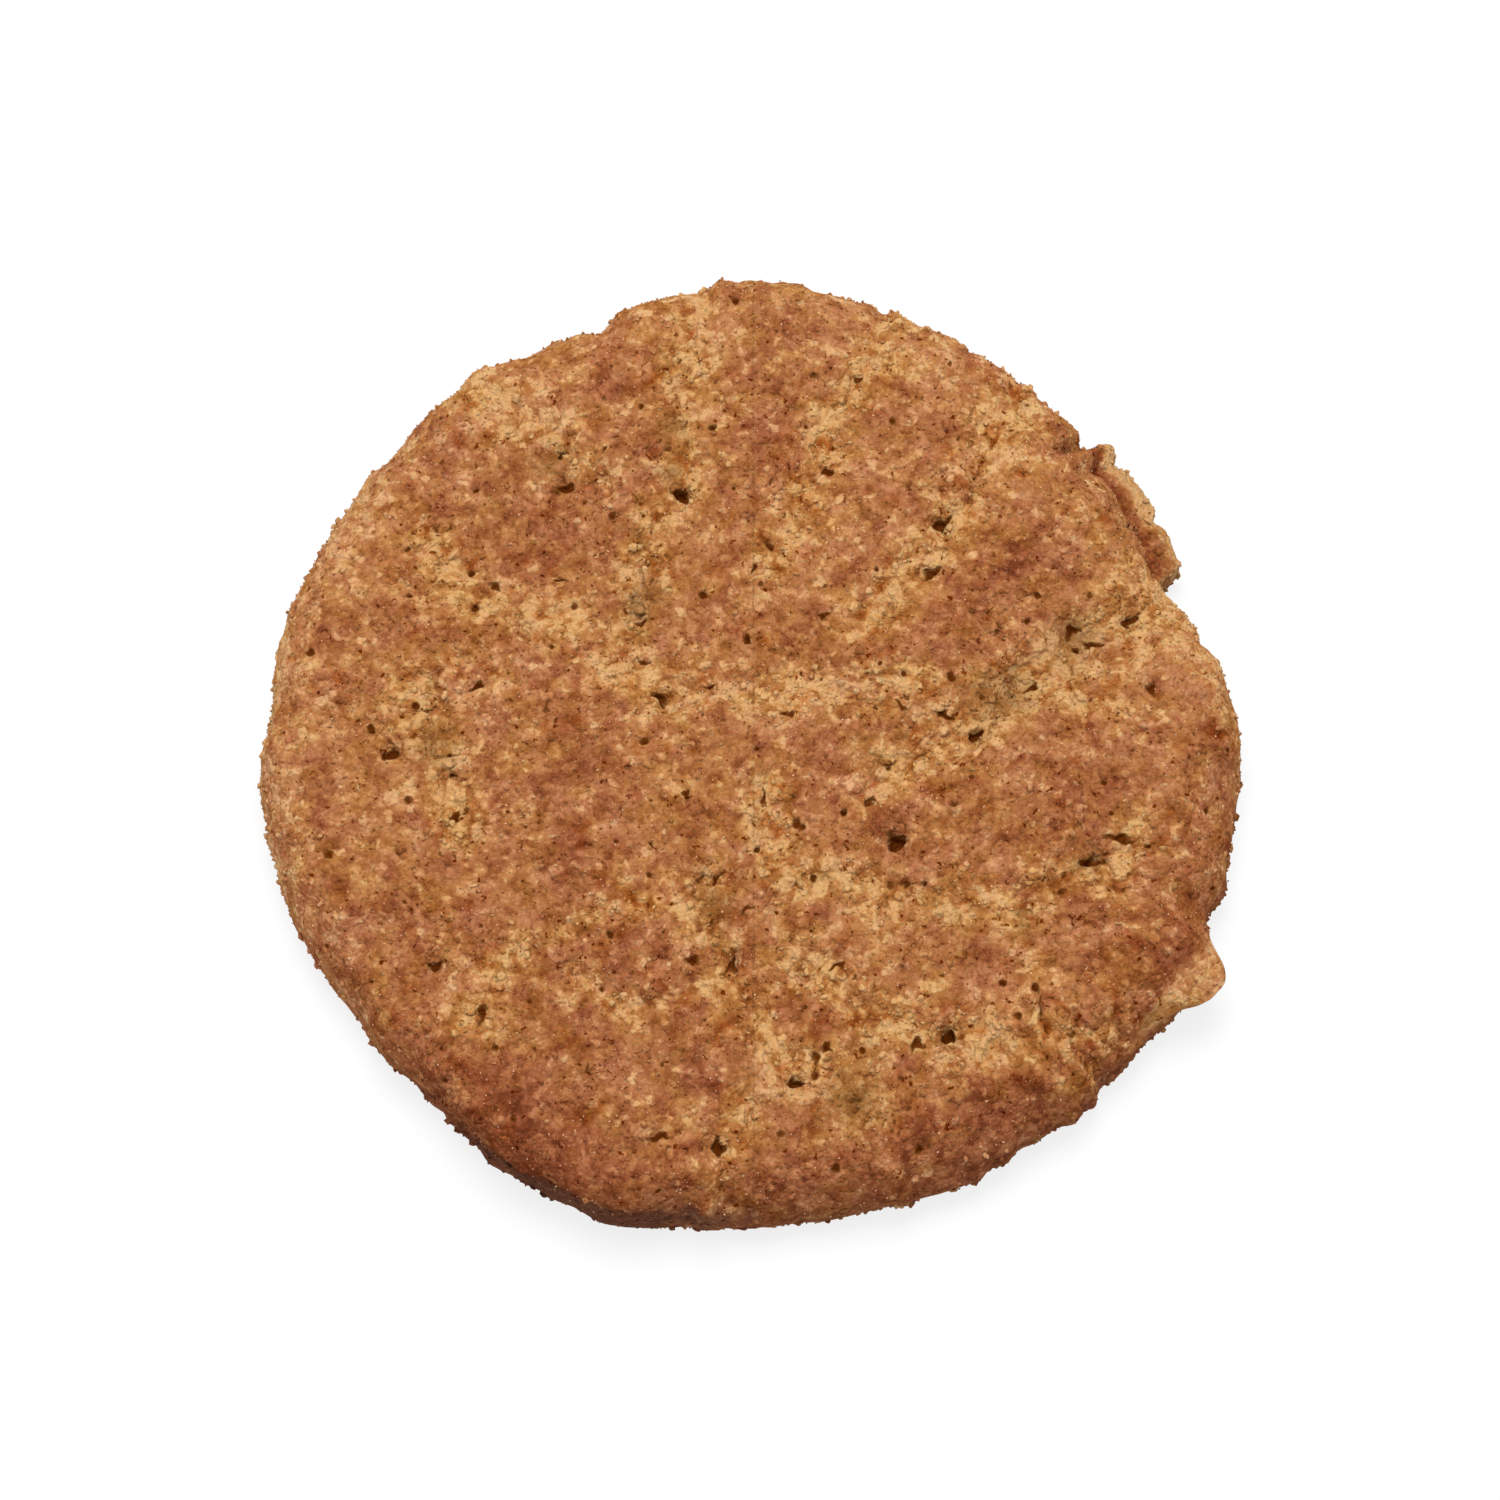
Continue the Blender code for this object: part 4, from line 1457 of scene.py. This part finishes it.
# %% [markdown]
# ## Meal and crumbs
#
# Look closely at a cookie and there is no smooth skin: it is meal and crumbs of dough
# stuck together, with small shadows between them. One grain is a solid of a few faces.
# Thousands of copies are dented, stretched and turned in one array and joined into one
# mesh, half sunk in the dough. Each takes its masks from the dough under it, with a
# little chance, so the same material gives it nearly the same tone.

# %% Meal and crumbs
def ball_grid(rings, around):
    """Unit ball: rings of points between two poles, with triangles only."""
    down = np.arange(1, rings + 1) * math.pi / (rings + 1)
    turn = np.arange(around) * 2.0 * math.pi / around
    middle = np.sin(down)[:, None, None] * np.column_stack([np.cos(turn), np.sin(turn)])
    height = np.repeat(np.cos(down)[:, None], around, axis=1)[:, :, None]
    belt = np.concatenate([middle, height], axis=2).reshape(-1, 3)
    points = np.concatenate([[[0.0, 0.0, 1.0]], belt, [[0.0, 0.0, -1.0]]])
    here = np.arange(around)
    after = (here + 1) % around
    last = 1 + (rings - 1) * around
    faces = [np.column_stack([0 * here, 1 + here, 1 + after])]
    for top in range(1, last, around):
        faces.append(np.column_stack([top + here, top + around + here, top + around + after]))
        faces.append(np.column_stack([top + here, top + around + after, top + after]))
    faces.append(np.column_stack([last + after, last + here, 0 * here + last + around]))
    return points, np.concatenate(faces)


def random_turns(rng, count):
    """Random rotation matrices, from unit quaternions."""
    four = rng.normal(size=(4, count))
    w, x, y, z = four / np.linalg.norm(four, axis=0)
    rows = [
        [1 - 2 * (y * y + z * z), 2 * (x * y - w * z), 2 * (x * z + w * y)],
        [2 * (x * y + w * z), 1 - 2 * (x * x + z * z), 2 * (y * z - w * x)],
        [2 * (x * z - w * y), 2 * (y * z + w * x), 1 - 2 * (x * x + y * y)],
    ]
    return np.array(rows).transpose(2, 0, 1)


def pick_places(weights, count, rng):
    """Random places on the quads, likelier by area and weight: the corners and their shares."""
    spans = surface[quads[:, 2:]] - surface[quads[:, :2]]
    area = np.linalg.norm(np.cross(spans[:, 0], spans[:, 1]), axis=1)
    likely = area * weights[quads].min(axis=1)
    corners = quads[rng.choice(len(quads), size=count, p=likely / likely.sum())]
    across, along = rng.uniform(0.0, 1.0, (2, count))
    left, right = 1.0 - across, across
    shares = np.column_stack([left * (1.0 - along), right * (1.0 - along), right * along, left * along])
    return corners, shares


DENTS = (0.65, 1.25)
SUNK = 0.8
LEAST_STRETCH = 0.45
ABOVE_TABLE = np.array([0.0, 0.0, 0.05])


def add_grains(name, shape, weights, count, sizes, rise, tone, seed, material, stretch):
    """A joined mesh of grains. Sizes are the smallest and largest half length; most are small.

    Each corner of a grain is pushed in or out, each axis shortened, the whole turned and
    set on the surface, raised by a share of its size. Tone is added to its browning.
    """
    rng = np.random.default_rng(seed)
    points, faces = shape
    corners, shares = pick_places(weights, count, rng)
    place = np.einsum("nc,nci->ni", shares, surface[corners])
    outward = np.einsum("nc,nci->ni", shares, normals[corners])
    size = sizes[0] + (sizes[1] - sizes[0]) * rng.uniform(0.0, 1.0, count) ** 2
    dents = rng.uniform(*DENTS, (count, len(points), 1))
    local = points * dents * size[:, None, None] * rng.uniform(stretch, 1.0, (count, 1, 3))
    local = np.einsum("nij,nvj->nvi", random_turns(rng, count), local)
    lift = size * rng.uniform(rise - SUNK, rise, count)
    spread = local + (place + outward * lift[:, None])[:, None, :]
    spread = np.clip(spread.reshape(-1, 3), cookie_low + ABOVE_TABLE, cookie_high)
    joined = (faces + np.arange(count)[:, None, None] * len(points)).reshape(-1, 3)
    taken = {title: (shares * values[corners]).sum(axis=1) for title, values in masks.items()}
    taken["toasted"] = np.clip(taken["toasted"] + rng.uniform(*tone, count), 0.0, 1.0)
    taken["hollow"] = np.zeros(count)
    taken["gap"] = np.zeros(count)
    taken = {title: np.repeat(values, len(points)) for title, values in taken.items()}
    print(name, "has", count, "grains and", len(joined), "triangles")
    return make_piece(name, spread, joined.tolist(), material, taken)


# %% [markdown]
# ## Four kinds of grain
#
# The weights say where each kind lies. Clods and pale crumbs keep to the open crumb,
# meal covers the top and thins out down the rim, and rim crumbs sit on the rim. Holes
# and the flat sole stay clear, and the flap nearly so.

# %% Four kinds of grain
# The border of a hole, which keeps grains away, and how bare of grains the flap is
OPEN_BORDER, FLAP_BARE = (0.38, 0.50), 0.95

grain, ball = ball_grid(1, 4), ball_grid(2, 6)
off_sole = block[:, 2] > 0.02
open_to_light = (1.0 - smooth_step(hollow, *OPEN_BORDER)) * off_sole * (1.0 - FLAP_BARE * flap)
clod_weight = open_to_light * (0.06 + crumb)
meal_weight = open_to_light * (1.0 - 0.8 * rim)
pale_weight = open_to_light * (0.03 + crumb ** 1.5) * (1.0 - 0.8 * wall)
rim_weight = open_to_light * rim
# Shape, weight, count, half lengths in mm, rise, range of the tone, seed
GRAINS = {
    "crumb_clods": (ball, clod_weight, 900, (0.20, 0.60), 0.2, (-0.16, 0.12), 100),
    "meal": (grain, meal_weight, 20000, (0.06, 0.24), 0.7, (-0.22, 0.22), 101),
    "pale_crumbs": (ball, pale_weight, 1500, (0.18, 0.55), 0.1, (-0.40, -0.10), 103),
    "rim_crumbs": (ball, rim_weight, 3000, (0.12, 0.55), 0.1, (-0.30, 0.05), 104),
}
for name, kind in GRAINS.items():
    add_grains(name, *kind, dough, LEAST_STRETCH)

# %% [markdown]
# ## Sugar
#
# The dough ball was rolled in sugar and cinnamon. What is left of the sugar are crystals
# of a tenth of a millimetre that glint. Each is a small block, so its flat faces
# reflect the light in one direction. Their pale colours are partly the crystals' own and
# partly a painted highlight. Most of them lie on the toasted skin.

# %% Sugar
HALF_BLOCK = 0.6
SUGAR_MOTTLE = 0.6
# Pale colours, partly the sugar's own and partly painted highlight
SUGAR_AND_GLINT_COLOURS = [(0.35, (0.42, 0.18, 0.08)), (0.65, (0.74, 0.45, 0.28))]
# Factor and offset of the roughness by the mottle
SUGAR_ROUGHNESS = (0.2, 0.35)


def box_grid():
    """A cube with its faces as twelve triangles."""
    points = np.array(list(product((-HALF_BLOCK, HALF_BLOCK), repeat=3)))
    sides = [[0, 1, 3, 2], [4, 6, 7, 5], [0, 4, 5, 1], [2, 3, 7, 6], [0, 2, 6, 4], [1, 5, 7, 3]]
    sides = np.array(sides)
    return points, np.concatenate([sides[:, [0, 1, 2]], sides[:, [0, 2, 3]]])


def make_sugar():
    material, tree, shader = new_material("sugar")
    place = tree.nodes.new("ShaderNodeTexCoord").outputs["Object"]
    tone = noise_value(tree, place, SUGAR_MOTTLE)
    feed(tree, shader.inputs["Base Color"], colour_scale(tree, tone, SUGAR_AND_GLINT_COLOURS))
    feed(tree, shader.inputs["Roughness"], scaled(tree, tone, *SUGAR_ROUGHNESS))
    return material


sugar_weight = open_to_light * (0.3 + toasted) * (1.0 - 0.7 * rim) * (0.25 + patchy)
# As for the grains of dough, with blocks that are less stretched
SUGAR = (box_grid(), sugar_weight, 3600, (0.04, 0.10), 1.0, (0.0, 0.0), 131)
sugar = add_grains("sugar", *SUGAR, make_sugar(), 0.7)
sugar.data.shade_flat()

# %% [markdown]
# ## Table
#
# The table is burnt out to pure white. It reflects little light and shines by itself, so
# the shadow in front of the cookie stays thin and pale. It is stage, not part of the
# cookie.

# %% Table
TABLE_GREY, TABLE_GLOW, TABLE_ROUGHNESS = 0.11, 0.80, 0.9
TABLE_HALF = 1.5
WHITE = (1.0, 1.0, 1.0, 1.0)


def make_table():
    material, _, shader = new_material("white_table")
    shader.inputs["Base Color"].default_value = (TABLE_GREY, TABLE_GREY, TABLE_GREY, 1.0)
    shader.inputs["Emission Color"].default_value = WHITE
    shader.inputs["Emission Strength"].default_value = TABLE_GLOW
    shader.inputs["Roughness"].default_value = TABLE_ROUGHNESS
    mesh = bpy.data.meshes.new("table")
    signs = [(-1, -1), (1, -1), (1, 1), (-1, 1)]
    corners = [(TABLE_HALF * x, TABLE_HALF * y, 0) for x, y in signs]
    mesh.from_pydata(corners, [], [(0, 1, 2, 3)])
    mesh.materials.append(material)
    table = bpy.data.objects.new("table", mesh)
    bpy.context.scene.collection.objects.link(table)


make_table()
print("table", 2 * TABLE_HALF, "m wide")

# %% [markdown]
# ## Light
#
# One large soft light comes from behind the cookie, so the shoulder nearest to us is the
# darkest. A white room fills in the shadows evenly from all sides.

# %% Light
WINDOW_PLACE = (-0.03, 0.20, 0.87)
WINDOW_WIDTH, WINDOW_POWER = 0.42, 9.5
ROOM_LIGHT = 0.8


def add_area_light(name, place, aim, size, power):
    light = bpy.data.lights.new(name, "AREA")
    light.shape = "SQUARE"
    light.size = size
    light.energy = power
    lamp = bpy.data.objects.new(name, light)
    bpy.context.scene.collection.objects.link(lamp)
    lamp.location = place
    lamp.rotation_euler = (Vector(aim) - Vector(place)).to_track_quat("-Z", "Y").to_euler()


add_area_light("window", WINDOW_PLACE, (0.0, 0.0, 0.0), WINDOW_WIDTH, WINDOW_POWER)
world = bpy.data.worlds.new("room")
world.use_nodes = True
sky = world.node_tree.nodes["Background"]
sky.inputs["Color"].default_value = WHITE
sky.inputs["Strength"].default_value = ROOM_LIGHT
bpy.context.scene.world = world
bpy.context.scene.view_settings.view_transform = "Standard"
print("window of", WINDOW_POWER, "watts and a white room")

# %% [markdown]
# ## Camera
#
# The camera looks down at seventy degrees from the table. It stands at a distance from
# the point it aims at, and its lens is as long as the framing asks.

# %% Camera
CAMERA_HEIGHT_ANGLE = math.radians(70.0)
CAMERA_DISTANCE = 0.450
CAMERA_AIM = Vector((-0.04, -1.15, 4.5)) * MM
FRAME_PIXELS = 1500
FOCAL_PIXELS = 5206
SENSOR_WIDTH = 36.0
back = Vector((0.0, -math.cos(CAMERA_HEIGHT_ANGLE), math.sin(CAMERA_HEIGHT_ANGLE)))
camera_data = bpy.data.cameras.new("camera")
camera_data.sensor_width = SENSOR_WIDTH
camera_data.lens = SENSOR_WIDTH * FOCAL_PIXELS / FRAME_PIXELS
camera = bpy.data.objects.new("camera", camera_data)
bpy.context.scene.collection.objects.link(camera)
camera.location = CAMERA_AIM + back * CAMERA_DISTANCE
camera.rotation_mode = "QUATERNION"
camera.rotation_quaternion = (-back).to_track_quat("-Z", "Y")
bpy.context.scene.camera = camera
print("camera lens", round(camera_data.lens, 1), "mm")
